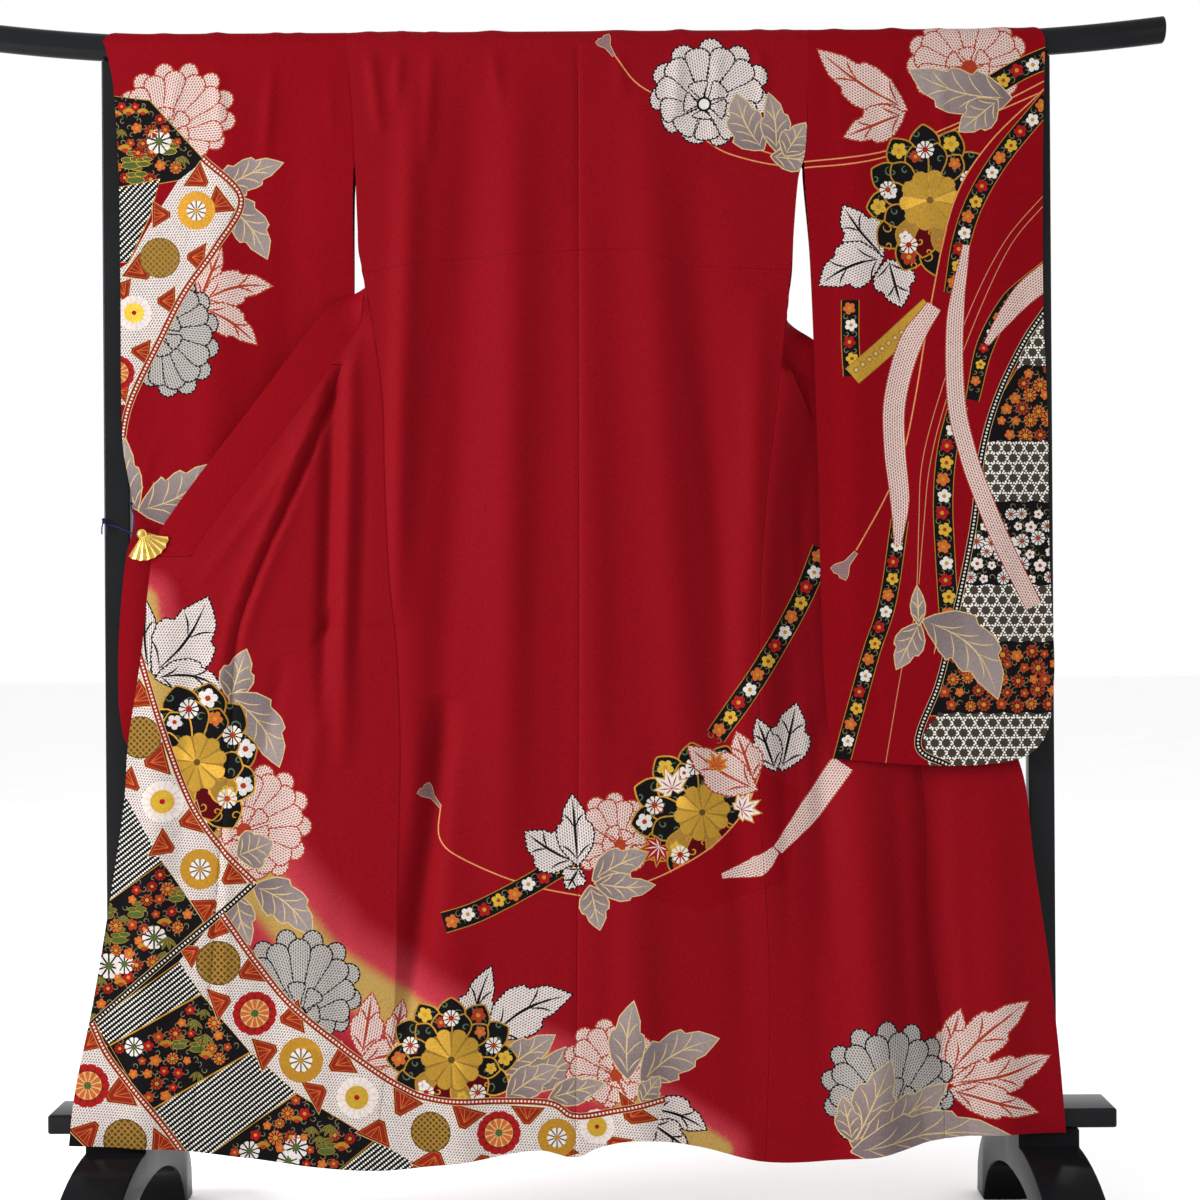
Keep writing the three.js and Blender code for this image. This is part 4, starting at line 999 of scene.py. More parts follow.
def kiku(centre, reach, dye, edge, heart, count=14, squash=(1, 1), lean=(0, 0), turn=0.0):
    """A chrysanthemum of tied petals. lean moves the heart off the middle, as in a flower seen from aside."""
    centre = np.asarray(centre)
    middle = centre + np.array(lean) * GRID_UNIT
    shapes = []
    rings = ((1.0, 0.5, count, 0.86), (0.88, 0.0, count, 1.04), (0.38, 0.5, count // 2, 0.9))
    for share, offset, petals, full in rings:
        for k in range(petals):
            angle = turn + (k + offset) * 2 * math.pi / petals
            ray = ray_at(angle, squash) * reach
            tip = mix(middle, centre, share) + ray * share
            shapes += tied_petal(middle + ray * 0.07, tip, petal_width(reach * share, petals) * full, dye, edge)
    shapes.append(disc(middle, reach * 0.13, edge))
    shapes.append(disc(middle, reach * 0.09, heart))
    return shapes


def small_flower(centre, radius, dye, heart, petals=5, turn=0.0):
    shapes = []
    centre = np.asarray(centre)
    for k in range(petals):
        angle = turn + k * 2 * math.pi / petals
        ray = ray_at(angle)
        middle = centre + ray * radius * 0.58
        shapes.append(disc(middle, radius * (0.40 if petals < 7 else 0.24), dye, sides=7, grain=angle))
    shapes.append(disc(centre, radius * 0.30, heart, sides=6))
    return shapes


def petal_ring(centre, inner, outer, dye, count, share=0.9):
    shapes = []
    for k in range(count):
        angle = k * 2 * math.pi / count
        ray = ray_at(angle)
        width = 2 * math.pi * (inner + outer) / 2 / count * share * 1.15
        shapes.append(Shape(smoothed(placed(PETAL, centre + ray * inner, centre + ray * outer, width), 2, closed=True),
                            dye))
    return shapes


def ringed(spot, radius, dye, heart):
    """A small chrysanthemum in one colour with a round heart."""
    spot = np.asarray(spot)
    return petal_ring(spot, radius * 0.28, radius, dye, 10) + [disc(spot, radius * 0.34, heart, sides=7)]


def curl(start, radius, turn, dye, half=0.0007):
    """A spiral tendril of karakusa scroll."""
    t = np.linspace(0, 1, 9)
    angle = turn + t * 5.0
    reach = radius * (1 - 0.75 * t)
    line = np.asarray(start) + np.column_stack([reach * np.cos(angle), reach * np.sin(angle)])
    return stroke(line, half, dye, taper=0.8)


POINTED = np.array([[0, 0.12], [0.3, 0.30], [0.6, 0.48], [0.8, 0.44], [0.93, 0.22], [1, 0.02], [1, -0.02],
                    [0.93, -0.22], [0.8, -0.44], [0.6, -0.48], [0.3, -0.30], [0, -0.12]])


def rich_petals(centre, reach, core, turn, rng, count=11, squash=(1, 1)):
    """Gold-edged dark petals that hold small flowers, round a core of gold thread."""
    centre = np.asarray(centre)
    shapes = []
    for ring, share in enumerate((1.0, 0.76)):
        for k in range(count):
            angle = turn + (k + ring / 2) * 2 * math.pi / count
            ray = ray_at(angle, squash) * reach
            width = petal_width(reach * share, count, 1.12)
            whole = resampled(smoothed(placed(POINTED, centre + ray * 0.15, centre + ray * share, width), 2,
                                       closed=True), 0.0045)
            lower = math.sin(angle) < -0.55
            shapes.append(Shape(whole, GOLD, GOLD_CRAFT, grain=angle))
            shapes.append(Shape(shrunk(whole, 0.0023), (WINE, BRONZE)[k % 2] if lower and ring else INK))
            side = np.array([-math.sin(angle), math.cos(angle)]) * width * 0.2
            for reach_share, hand, size in ((0.56, 1, 0.2), (0.72, -1, 0.17), (0.88, 1, 0.13)):
                shapes.append(curl(centre + ray * share * reach_share + side * hand, width * size, angle + hand,
                                   GOLD if lower else MOSS, 0.0011))
            if (k + ring) % 2 == 0:
                tint = (ORANGE, RUST, SHELL, YELLOW)[int(rng.integers(4))]
                shapes += small_flower(centre + ray * share * 0.80, width * 0.26, tint, RUST if tint is SHELL else GOLD,
                                       5, angle)
    for k in range(5):
        angle = turn + (k + 0.25) * 2 * math.pi / 5
        spot = centre + ray_at(angle, squash) * reach * 0.66
        shapes += ringed(spot, reach * 0.125, SHELL, SCARLET if k % 2 else RUST)
    shapes.append(disc(centre, core * 1.10, BRONZE, GOLD_CRAFT, sides=24))
    for k in range(10):
        angle = turn + k * 2 * math.pi / 10
        ray = ray_at(angle)
        petal = smoothed(placed(PETAL, centre, centre + ray * core * 1.22, petal_width(core, 10, 1.12)), 3, closed=True)
        petal = resampled(petal, 0.005)
        shapes += [Shape(petal, BRONZE, GOLD_CRAFT), Shape(shrunk(petal, 0.0007), GILT, GOLD_CRAFT, grain=angle)]
    shapes.append(disc(centre, core * 0.14, OLIVE, GOLD_CRAFT, sides=10))
    return shapes


# %% Leaves
LEAF_EDGES = {   # share of the length, half width: each drop is a notch behind a forward-pointing tooth
    1: [(0, 0.02), (0.12, 0.24), (0.3, 0.46), (0.5, 0.50), (0.72, 0.36), (0.9, 0.14), (1, 0.0)],
    2: [(0, 0.02), (0.10, 0.22), (0.26, 0.44), (0.44, 0.52), (0.58, 0.46), (0.61, 0.34), (0.76, 0.30), (0.9, 0.14),
        (1, 0.0)],
    3: [(0, 0.02), (0.08, 0.20), (0.22, 0.42), (0.36, 0.52), (0.40, 0.41), (0.54, 0.46), (0.64, 0.43), (0.67, 0.31),
        (0.80, 0.27), (0.92, 0.12), (1, 0.0)],
}


def leaf(base, tip, width, lobes=3, fill=LEAF_GREY, pale=LEAF_PALE, edge=CREAM, craft=PLAIN, bow=0.0):
    """A toothed leaf with its outline and veins in resist, which stays the colour of cream silk or gold."""
    base, tip = np.asarray(base), np.asarray(tip)
    way = tip - base
    side = np.array([-way[1], way[0]])
    table = np.array(LEAF_EDGES[lobes])
    t = np.unique(np.concatenate([table[:, 0], np.linspace(0, 1, 14)]))
    half = np.interp(t, table[:, 0], table[:, 1])
    spine = base + t[:, None] * way + (np.sin(np.pi * t) * bow)[:, None] * side
    left, right = offsets(spine, half * width)
    whole = np.vstack([left, right[::-1]])
    tied = craft == KANOKO_CRAFT
    inner = resampled(shrunk(resampled(whole, 0.0022), 0.0019 if tied else 0.0015), 0.0034 if tied else 0.0040)
    inner = jagged(inner, 0.0012) if tied else inner
    fade = None if tied else (base, tip, pale)
    direction = math.atan2(way[1], way[0])
    shapes = [Shape(whole, edge), Shape(inner, fill, craft, grain=direction, fade=fade)]
    shapes.append(stroke(spine[1:-2], 0.0019 if tied else 0.0011, edge, taper=1.0))
    for k in range(lobes + 1):
        share = 0.10 + 0.62 * k / (lobes + 1)
        root = base + share * way + math.sin(math.pi * share) * bow * side
        for hand in (1, -1):
            reach = np.interp(min(1, share + 0.18), t, half) * width * 0.84
            end = root + way * 0.20 + hand * side / np.hypot(*side) * reach
            middle = mix(root, end, 0.5) + way * 0.03
            if not tied or k % 2 == 0:
                shapes.append(stroke(smoothed([root, middle, end], 3), 0.0013 if tied else 0.0009, edge, taper=1.0))
    return shapes


def tied_leaf(base, tip, width, fill=SHELL, edge=INK, lobes=2, bow=0.0):
    return leaf(base, tip, width, lobes, fill, fill, edge, KANOKO_CRAFT, bow)


# %% Ribbons, cords and fields
def ribbon(points, width, fill, edge, craft=PLAIN, rim=0.0011):
    line = smoothed(points, 7)
    left, right = offsets(line, np.asarray(width) / 2 if np.ndim(width) == 0
                          else np.interp(np.linspace(0, 1, len(line)), np.linspace(0, 1, len(width)), width) / 2)
    whole = np.vstack([left, right[::-1]])
    half = np.hypot(*(left - right).T) / 2
    inner_left, inner_right = offsets(line, np.maximum(half - rim, 0.0004))
    return [Shape(whole, edge, GOLD_CRAFT if edge is GOLD else PLAIN, path=line),
            Shape(np.vstack([inner_left, inner_right[::-1]]), fill, craft, path=line)]


def floral_ribbon(points, width, rng, tints=None, spacing=0.024):
    """A black ribbon with gold edges, flowers along its middle and scrolls between them."""
    tints = tints or [ORANGE, SHELL, SCARLET, YELLOW]
    shapes = ribbon(points, width, INK, GOLD)
    line = smoothed(points, 7)
    length = travelled(line)
    half = np.mean(width) / 2
    for k, place in enumerate(np.arange(spacing * 0.5, length[-1] - spacing * 0.3, spacing)):
        middle = place_along(line, length, place)
        ahead = place_along(line, length, place + 0.001) - middle
        angle = math.atan2(ahead[1], ahead[0])
        side = np.array([-math.sin(angle), math.cos(angle)])
        forward = ray_at(angle)
        tint = tints[k % len(tints)]
        heart = GOLD if tint is not YELLOW else RUST
        hand = 1 if k % 2 else -1
        between, aside = middle + forward * spacing * 0.5, side * half * 0.4 * hand
        shapes.append(curl(between + aside, half * 0.40, angle * hand, SCROLL))
        shapes.append(curl(between - aside, half * 0.36, 2 - angle, SCROLL))
        shapes += small_flower(middle + side * half * 0.10 * hand, min(half * 0.72, 0.0105), tint, heart, 5,
                               float(rng.uniform(0, 2)))
    return shapes


def cord_line(points, dye=ORANGE, half=0.0012):
    line = smoothed(points, 7)
    return [stroke(line, half, dye, BEAD_CRAFT), stroke(line, half * 0.3, CREAM)]


def tassel_head(base, tip, width):
    """The trumpet-shaped end of a painted cord."""
    profile = np.array([[0, 0.12], [0.5, 0.2], [0.8, 0.5], [1, 0.55], [1.06, 0.2], [1.0, 0], [1.06, -0.2],
                        [1, -0.55], [0.8, -0.5], [0.5, -0.2], [0, -0.12]])
    whole = placed(profile, base, tip, width)
    return [Shape(whole, CREAM), Shape(shrunk(whole, 0.0008), LILAC)]


def field(outline, fill, craft=PLAIN, grain=0.0, edge=None):
    outline = np.asarray(outline)
    shapes = []
    if edge is not None:
        shapes.append(Shape(outline, edge))
        outline = shrunk(outline, 0.0012)
    shapes.append(Shape(outline, fill, craft, grain))
    return shapes


def bead_line(points, dye=SHELL, under=RUST, half=0.0023):
    """A border of small beads on a red line."""
    line = smoothed(points, 7)
    shapes = [stroke(line, half * 2.2, CREAM), stroke(line, half * 1.9, INK if under is INK else BRICK),
              stroke(line, half, under)]
    length = travelled(line)
    for place in np.arange(half, length[-1], half * 2.3):
        middle = place_along(line, length, place)
        shapes.append(disc(middle, half * 0.76, dye, sides=6))
    return shapes


def scattered(outline, rng, spacing, tints, radius, scroll=SCROLL, extras=()):
    """Small flowers and scrolls thrown over a field, on a loose net so that none overlap."""
    outline = np.asarray(outline)
    low, high = outline.min(axis=0), outline.max(axis=0)
    shapes = []
    for j, row in enumerate(np.arange(low[1], high[1], spacing * 0.8)):
        for column in np.arange(low[0] + (j % 2) * spacing / 2, high[0], spacing):
            spot = np.array([column, row]) + rng.uniform(-0.16, 0.16, 2) * spacing
            if not inside(spot[None], outline)[0] or not off_edge(spot[None], outline, radius * 0.8)[0]:
                continue
            pick = int(rng.integers(len(tints)))
            turn = float(rng.uniform(0, 6))
            size = radius * float(rng.uniform(0.72, 1.1))
            shapes.append(curl(spot + np.array([0.50, 0.1]) * spacing, spacing * 0.24, turn, scroll))
            shapes.append(curl(spot + np.array([0.1, 0.5]) * spacing, spacing * 0.22, turn + 2, scroll))
            kind = rng.uniform()
            heart = RUST if tints[pick] in (YELLOW, SHELL) else GOLD
            if extras and kind < 0.34:
                shapes += extras[int(rng.integers(len(extras)))](spot, size * 1.5)
            elif kind < 0.64:
                shapes += ringed(spot, size * 1.15, tints[pick], heart)
            else:
                shapes += small_flower(spot, size, tints[pick], heart, 5, turn)
    return shapes


def little_pine(spot, size):
    """Cloud-shaped tiers of a pine in gold-edged green."""
    shapes = []
    for dx, dy, share in ((-0.2, 0, 1.3), (-0.6, 0.75, 0.9), (0.6, 0.85, 0.9), (0, 1.6, 0.8)):
        middle = np.asarray(spot) + np.array([dx, dy]) * size * 0.8
        oval = disc(middle, size * share * 0.8, GOLD, GOLD_CRAFT, sides=12)
        oval.points = middle + (oval.points - middle) * (1, 0.42)
        shapes += [oval, Shape(shrunk(oval.points, 0.0007), GREEN)]
    return shapes


def little_bamboo(spot, size):
    """A spray of narrow leaves from one point."""
    shapes = []
    for turn in (-2.5, -2.0, -1.45, -0.9):
        tip = np.asarray(spot) + size * 1.5 * np.array([math.cos(turn), math.sin(turn)])
        shapes.append(stroke(np.linspace(spot, tip, 5), size * 0.2, BRONZE, taper=1.0))
        shapes.append(stroke(np.linspace(spot, tip, 5), size * 0.12, GREEN, taper=1.0))
    return shapes


def white_daisy(spot, size):
    return ringed(spot, size * 1.4, SHELL, GREEN)


def little_fan(spot, size):
    turn = np.linspace(0.5, 2.6, 7)
    arc = np.asarray(spot) + size * np.column_stack([np.cos(turn), np.sin(turn)])
    whole = np.vstack([np.asarray(spot)[None], arc])
    return [Shape(whole, GOLD, GOLD_CRAFT, grain=1.2), Shape(mix(np.asarray(spot), whole, 0.55), RUST)]


def medallion(centre, radius, scheme):
    """A round crest of petals, in one of a few schemes of colour."""
    centre = np.asarray(centre)
    if scheme == "gold":
        return ([disc(centre, radius, GOLD, GOLD_CRAFT, 28), disc(centre, radius * 0.50, OLIVE, PLAIN, 16)]
                + petal_ring(centre, radius * 0.12, radius * 0.52, SHELL, 10)
                + [disc(centre, radius * 0.14, GOLD, GOLD_CRAFT, 8)])
    if scheme == "white":
        return ([disc(centre, radius, BLUSH, PLAIN, 28)] + petal_ring(centre, radius * 0.5, radius * 1.02, SHELL, 16)
                + [disc(centre, radius * 0.58, YELLOW, GOLD_CRAFT, 20), disc(centre, radius * 0.14, SCARLET, PLAIN, 8)])
    if scheme == "red":
        return ([disc(centre, radius * 0.97, BRICK, PLAIN, 28)]
                + petal_ring(centre, radius * 0.56, radius * 1.02, SCARLET, 14, 1.0)
                + [disc(centre, radius * 0.66, CREAM, PLAIN, 20)]
                + petal_ring(centre, radius * 0.1, radius * 0.65, ORANGE, 12, 1.0)
                + [disc(centre, radius * 0.18, GREEN, PLAIN, 8)])
    shapes = [disc(centre, radius, OLIVE, GOLD_CRAFT, 28)]
    for k in range(-4, 5):
        for hand in (1, -1):
            way = np.array([1, hand]) / math.sqrt(2)
            side = np.array([-way[1], way[0]]) * k * radius * 0.21
            reach = math.sqrt(max(0.01, 0.88 - (k * 0.21) ** 2)) * radius
            shapes.append(stroke(np.array([centre + side - way * reach, centre + side + way * reach]), 0.0011, BRONZE))
    return shapes


print("drawing tools ready")
# %% [markdown]
# ## The ground colours
# The silk is dyed crimson. Along the flower bank the dye is brushed out into rose and then a yellow ochre,
# which is why the bank seems to glow. The brushed band is a distance from a line, so it is a function of
# place and not a shape.

# %% Brushed ground
GLOW_LINE = line_at((146, 600), (150, 645), (195, 770), (255, 880), (322, 965), (410, 1020), (520, 1060),
                    (640, 1100), (720, 1150))
GLOW_WIDE = (0.012, 0.085)     # ochre out to the first distance, red again from the second
OCHRE = dye_of(196, 160, 88)
ROSE = dye_of(196, 58, 72)


def body_ground(flat):
    away = np.full(len(flat), 1e9)
    share = np.zeros(len(flat))
    for k, (a, b) in enumerate(zip(GLOW_LINE, GLOW_LINE[1:])):
        way = b - a
        t = np.clip((flat - a) @ way / (way @ way), 0, 1)
        gap = np.hypot(*(flat - a - t[:, None] * way).T)
        nearer = gap < away
        share[nearer] = ((k + t) / (len(GLOW_LINE) - 1))[nearer]
        away = np.minimum(away, gap)
    swell = 0.62 + 0.55 * np.sin(np.pi * np.clip(share * 1.08, 0, 1)) ** 1.5
    near, far = GLOW_WIDE[0] * swell * 1.5, GLOW_WIDE[1] * swell
    t = np.clip((away - near) / (far - near), 0, 1)[:, None]
    rosy, red = smooth(t * 3.6), smooth(t * 1.1 - 0.22)
    return (np.array(OCHRE) * (1 - rosy) + np.array(ROSE) * rosy) * (1 - red) + np.array(RED) * red


def sleeve_ground(flat):
    return np.tile(np.array(RED), (len(flat), 1))


# %% Setting out on the layout grid
def px(length):
    return length * GRID_UNIT


def set_leaves(rows):
    """Rows of (base, tip, width, kind, lobes, bow)."""
    kinds = {
        "grey": lambda *a: leaf(*a[:3], lobes=a[3], bow=a[4]),
        "white": lambda base, tip, width, *a: tied_leaf(base, tip, width * 1.2, lobes=a[0], bow=a[1]),
        "pink": lambda base, tip, width, *a: tied_leaf(base, tip, width, BLUSH, RUST, *a),
    }
    shapes = []
    for base, tip, width, kind, lobes, bow in rows:
        shapes += kinds[kind](at(*base), at(*tip), px(width), lobes, bow)
    return shapes


def set_medallions(rows):
    shapes = []
    for column, row, radius, scheme in rows:
        shapes += medallion(at(column, row), px(radius), scheme)
    return shapes


def set_teeth(rows):
    """Rust triangles: rows of (middle of the base, peak, width of the base)."""
    shapes = []
    for root, peak, width in rows:
        root, peak = at(*root), at(*peak)
        way = peak - root
        root, peak = root + way * 0.14, peak + way * 0.22
        side = np.array([-way[1], way[0]]) / np.hypot(*way) * px(width) * 0.6
        outer = np.array([root - side, root + side, peak + side * 0.18, peak - side * 0.18])
        middle = outer.mean(axis=0)
        for share, tint in ((1.08, CREAM), (1.02, BRICK), (0.86, ORANGE), (0.81, TOOTH)):
            shapes.append(Shape(mix(middle, outer, share), tint))
        for share in (-0.5, -0.2, 0.2, 0.5):
            shapes.append(stroke(np.array([root + side * share + way * 0.08, mix(root, peak, 0.72)]), 0.0005, ORANGE))
    return shapes


SEAM_RED = dye_of(112, 8, 20)
dice = np.random.default_rng(7)
SHOULDER_TUCK = [stroke(line_at((366, 272), (438, 260), (576, 250), (642, 249), (686, 265), (793, 270)), 0.00035,
                        SEAM_RED)]

# %% [markdown]
# ## The flower bank of the left front
# A band of tied dots with round crests runs down the left front and turns twice. Below it lie fields of
# beaded stripes and of black ground with flowers and pines. Above it chrysanthemums and leaves lean over
# the band's beaded border.

# %% Bank: fields and bands
STRIPE_TURN = 0.66
BANK = [Shape(line_at((118, 796), (163, 861), (222, 912), (297, 1093), (400, 1180), (190, 1172), (84, 1027),
                      (100, 880)), INK)]
BANK += field(line_at((126, 796), (163, 861), (108, 902), (118, 800)), INK, BEAD_CRAFT, STRIPE_TURN)
LITTLE_THINGS = (little_pine, little_fan, little_bamboo, white_daisy)
BLACK_FIELDS = [
    line_at((96, 910), (163, 861), (204, 922), (88, 1027), (84, 960)),
    line_at((110, 1045), (201, 994), (250, 1052), (150, 1110)),
    line_at((202, 1158), (297, 1093), (375, 1139), (334, 1174)),
]
for outline in BLACK_FIELDS:
    BANK += field(outline, INK, edge=GOLD)
    BANK += scattered(outline, dice, px(15.5), [ORANGE, RUST, ORANGE, SCARLET], px(5.8), extras=LITTLE_THINGS)
for outline in (line_at((94, 1022), (179, 961), (201, 994), (110, 1045)),
                line_at((150, 1110), (250, 1052), (297, 1093), (202, 1160), (186, 1158)),
                line_at((330, 1180), (375, 1139), (410, 1154), (420, 1190))):
    BANK += field(outline, INK, BEAD_CRAFT, STRIPE_TURN, edge=GOLD)
BANK += field(line_at((138, 650), (163, 729), (189, 800), (221, 848), (254, 883), (222, 912), (204, 922),
                      (163, 861), (126, 796), (112, 770)), SHELL, KANOKO_CRAFT, 0.9)
BANK += field(line_at((222, 912), (255, 963), (283, 999), (319, 1030), (357, 1058), (400, 1086), (440, 1100),
                      (545, 1102), (585, 1118), (665, 1098), (640, 1180), (545, 1180), (420, 1166), (375, 1139),
                      (297, 1093), (250, 1052), (201, 994), (179, 961)), SHELL, KANOKO_CRAFT, 0.9)
BANK += field(line_at((88, 1030), (110, 1058), (153, 1111), (191, 1170), (60, 1180), (60, 1100)), SHELL,
              KANOKO_CRAFT, 0.9)
BANK += field(line_at((60, 1120), (72, 1128), (90, 1149), (92, 1175), (60, 1175)), INK, edge=GOLD)

# %% Bank: crests, triangles and beaded borders
BANK += set_teeth([
    ((151, 690), (133, 702), 26), ((170, 757), (150, 762), 28), ((122, 773), (136, 786), 20),
    ((204, 816), (184, 822), 28), ((154, 840), (170, 848), 26), ((240, 870), (226, 880), 24),
    ((196, 914), (212, 904), 24), ((226, 918), (212, 934), 24), ((183, 958), (196, 950), 22),
    ((262, 966), (243, 974), 28), ((210, 1006), (226, 1000), 28), ((304, 1016), (284, 1020), 28),
    ((254, 1056), (272, 1050), 28), ((352, 1056), (334, 1066), 28), ((308, 1098), (322, 1090), 30),
    ((372, 1142), (380, 1124), 30), ((410, 1092), (400, 1110), 28), ((470, 1104), (464, 1122), 30),
    ((528, 1104), (527, 1120), 28), ((430, 1172), (436, 1154), 34), ((480, 1176), (484, 1158), 34),
    ((560, 1160), (556, 1144), 34), ((640, 1102), (630, 1116), 40), ((620, 1150), (612, 1140), 30),
    ((100, 1034), (86, 1046), 22), ((134, 1086), (112, 1096), 30), ((78, 1142), (94, 1126), 26),
    ((170, 1136), (158, 1150), 30),
])
BANK += set_medallions([
    (141, 737, 21, "olive"), (163, 801, 20, "white"), (200, 869, 20, "gold"), (218, 963, 22, "olive"),
    (254, 1014, 21, "red"), (301, 1060, 22, "gold"), (357, 1097, 20, "white"), (431, 1131, 20, "olive"),
    (499, 1132, 21, "red"), (557, 1137, 19, "gold"), (597, 1126, 17, "white"), (88, 1085, 21, "red"),
    (126, 1140, 22, "olive")])
BANK += bead_line(line_at((254, 883), (222, 912), (179, 948), (143, 979), (86, 1029)), under=INK)
BANK += bead_line(line_at((92, 1022), (110, 1058), (153, 1111), (192, 1164)))

# %% Bank: flowers and leaves above the border
BLOOMS = []
BLOOMS += set_leaves([
    ((150, 672), (148, 600), 30, "white", 2, 0.05), ((153, 674), (209, 595), 54, "white", 2, -0.08),
    ((155, 678), (225, 690), 28, "white", 2, 0.12), ((229, 700), (247, 648), 34, "grey", 2, 0.0),
    ((228, 694), (279, 768), 46, "grey", 3, 0.10),
])
BLOOMS += kiku(at(264, 822), px(56), BLUSH, RUST, RUST, 12, squash=(0.84, 1.0), lean=(-20, -8), turn=0.2)
BLOOMS += rich_petals(at(197, 762), px(78), px(24), 0.2, dice, 11, squash=(0.78, 1.04))
BLOOMS += set_leaves([
    ((236, 856), (273, 842), 40, "grey", 2, 0.0), ((252, 886), (312, 936), 42, "grey", 3, 0.10),
    ((236, 892), (250, 946), 30, "grey", 2, -0.05),
])
BLOOMS += kiku(at(298, 988), px(62), MIST, INK, MIST, 13, squash=(1.0, 0.94), lean=(0, -26), turn=0.1)
BLOOMS += set_leaves([
    ((362, 1056), (372, 992), 34, "pink", 2, 0.0), ((358, 1064), (432, 1056), 34, "pink", 2, 0.08),
    ((366, 1070), (420, 1088), 28, "pink", 2, -0.04), ((392, 1050), (402, 1000), 24, "pink", 2, 0.0),
    ((470, 1052), (492, 964), 34, "white", 2, 0.05), ((488, 1040), (574, 994), 42, "white", 2, 0.10),
    ((500, 1072), (556, 1034), 34, "grey", 2, 0.0), ((512, 1090), (606, 1042), 34, "grey", 3, 0.0),
])
BLOOMS += kiku(at(610, 1062), px(46), BLUSH, RUST, RUST, 11, squash=(1.0, 0.95), lean=(6, -12), turn=0.3)
BLOOMS += set_leaves([
    ((628, 1078), (634, 998), 36, "grey", 2, 0.05), ((640, 1080), (720, 1038), 46, "grey", 3, 0.08),
    ((646, 1106), (708, 1130), 30, "white", 2, 0.06), ((640, 1100), (660, 1074), 24, "grey", 2, 0.0),
    ((650, 1120), (690, 1150), 26, "white", 2, 0.0),
])
BLOOMS += rich_petals(at(452, 1058), px(64), px(25), 0.0, dice, 12, squash=(1.02, 0.96))
BLOOMS += set_leaves([((506, 1098), (560, 1066), 32, "grey", 2, 0.05), ((548, 1098), (606, 1082), 28, "grey", 2, 0.0)])

BORDER = bead_line(line_at((138, 648), (163, 729), (189, 800), (221, 848), (254, 883)))
BORDER += bead_line(line_at((222, 914), (255, 963), (283, 999), (319, 1030), (357, 1058), (400, 1086),
                            (440, 1099), (545, 1102), (580, 1116), (665, 1098)))
print("bank", len(BANK), "blooms", len(BLOOMS))

# %% [markdown]
# ## Flowers across the skirt and the shoulder
# A smaller group floats at the middle of the skirt: ribbons, a maple-leaved chrysanthemum and its leaves. A
# third lies near the right hem and a fourth crosses the right shoulder seam into the sleeve.

# %% Skirt group
SKIRT = []
SKIRT += cord_line(line_at((440, 805), (440, 840), (470, 862), (530, 885), (590, 897)))
SKIRT += tassel_head(at(440, 808), at(422, 788), px(14))
SKIRT += floral_ribbon(line_at((444, 922), (480, 910), (530, 884), (575, 858), (640, 830)), px(21), dice)
SKIRT += floral_ribbon(line_at((824, 548), (806, 592), (782, 636), (748, 690), (716, 736)), px(21), dice)
SKIRT += kiku(at(612, 836), px(44), BLUSH, RUST, RUST, 11, squash=(0.9, 1.0), lean=(8, -8), turn=0.1)
SKIRT += rich_petals(at(702, 812), px(72), px(23), 0.15, dice, 12, squash=(1.0, 0.98))
SKIRT.append(Shape(line_at((630, 890), (668, 874), (712, 848), (744, 814), (762, 770), (800, 790), (790, 880),
                           (700, 912)), RED))
SKIRT += ribbon(line_at((776, 850), (758, 866), (722, 876)), [px(10), px(22), px(6)], BLUSH, RUST, KANOKO_CRAFT)
SKIRT += ribbon(line_at((844, 764), (812, 810), (778, 850)), [px(24), px(24), px(12)], BLUSH, RUST, KANOKO_CRAFT)
SKIRT += cord_line(line_at((630, 886), (668, 872), (712, 846), (744, 812), (760, 772)))
SKIRT += set_leaves([
    ((782, 772), (798, 702), 38, "white", 2, 0.0), ((776, 772), (756, 716), 26, "white", 2, 0.0),
    ((754, 782), (736, 730), 34, "pink", 2, 0.0), ((758, 790), (686, 744), 42, "pink", 2, 0.05),
    ((576, 862), (524, 830), 38, "white", 2, 0.05), ((578, 866), (572, 792), 32, "white", 2, 0.0),
    ((580, 866), (566, 890), 22, "white", 2, 0.0), ((592, 880), (650, 852), 34, "grey", 2, 0.05),
    ((590, 884), (600, 930), 30, "grey", 2, 0.0), ((594, 882), (656, 884), 28, "grey", 2, -0.05),
])
MAPLE_LOBES = (0.55, 0.82, 0.96, 1.0, 0.96, 0.82, 0.55)
LOBE = np.array([[0, 0.12], [0.5, 0.5], [1, 0], [0.5, -0.5], [0, -0.12]])


def maple(centre, size, dye, vein, turn):
    shapes = []
    for grown, wide, tint in ((1.1, 0.46, GOLD), (0.98, 0.34, dye), (0.8, 0.07, vein)):
        for k, share in enumerate(MAPLE_LOBES):
            angle = turn + (k - 3) * 0.66
            ray = ray_at(angle) * size * share * grown
            shapes.append(Shape(placed(LOBE, centre, centre + ray, size * wide), tint))
    return shapes


for column, row, size, tint, vein, turn in ((672, 788, 21, SHELL, RUST, 1.9), (742, 810, 20, SHELL, SCARLET, 0.5),
                                            (659, 846, 20, SCARLET, SHELL, 3.9), (716, 766, 14, ORANGE, RUST, 1.2)):
    SKIRT += maple(np.array(at(column, row)), px(size), tint, vein, turn)

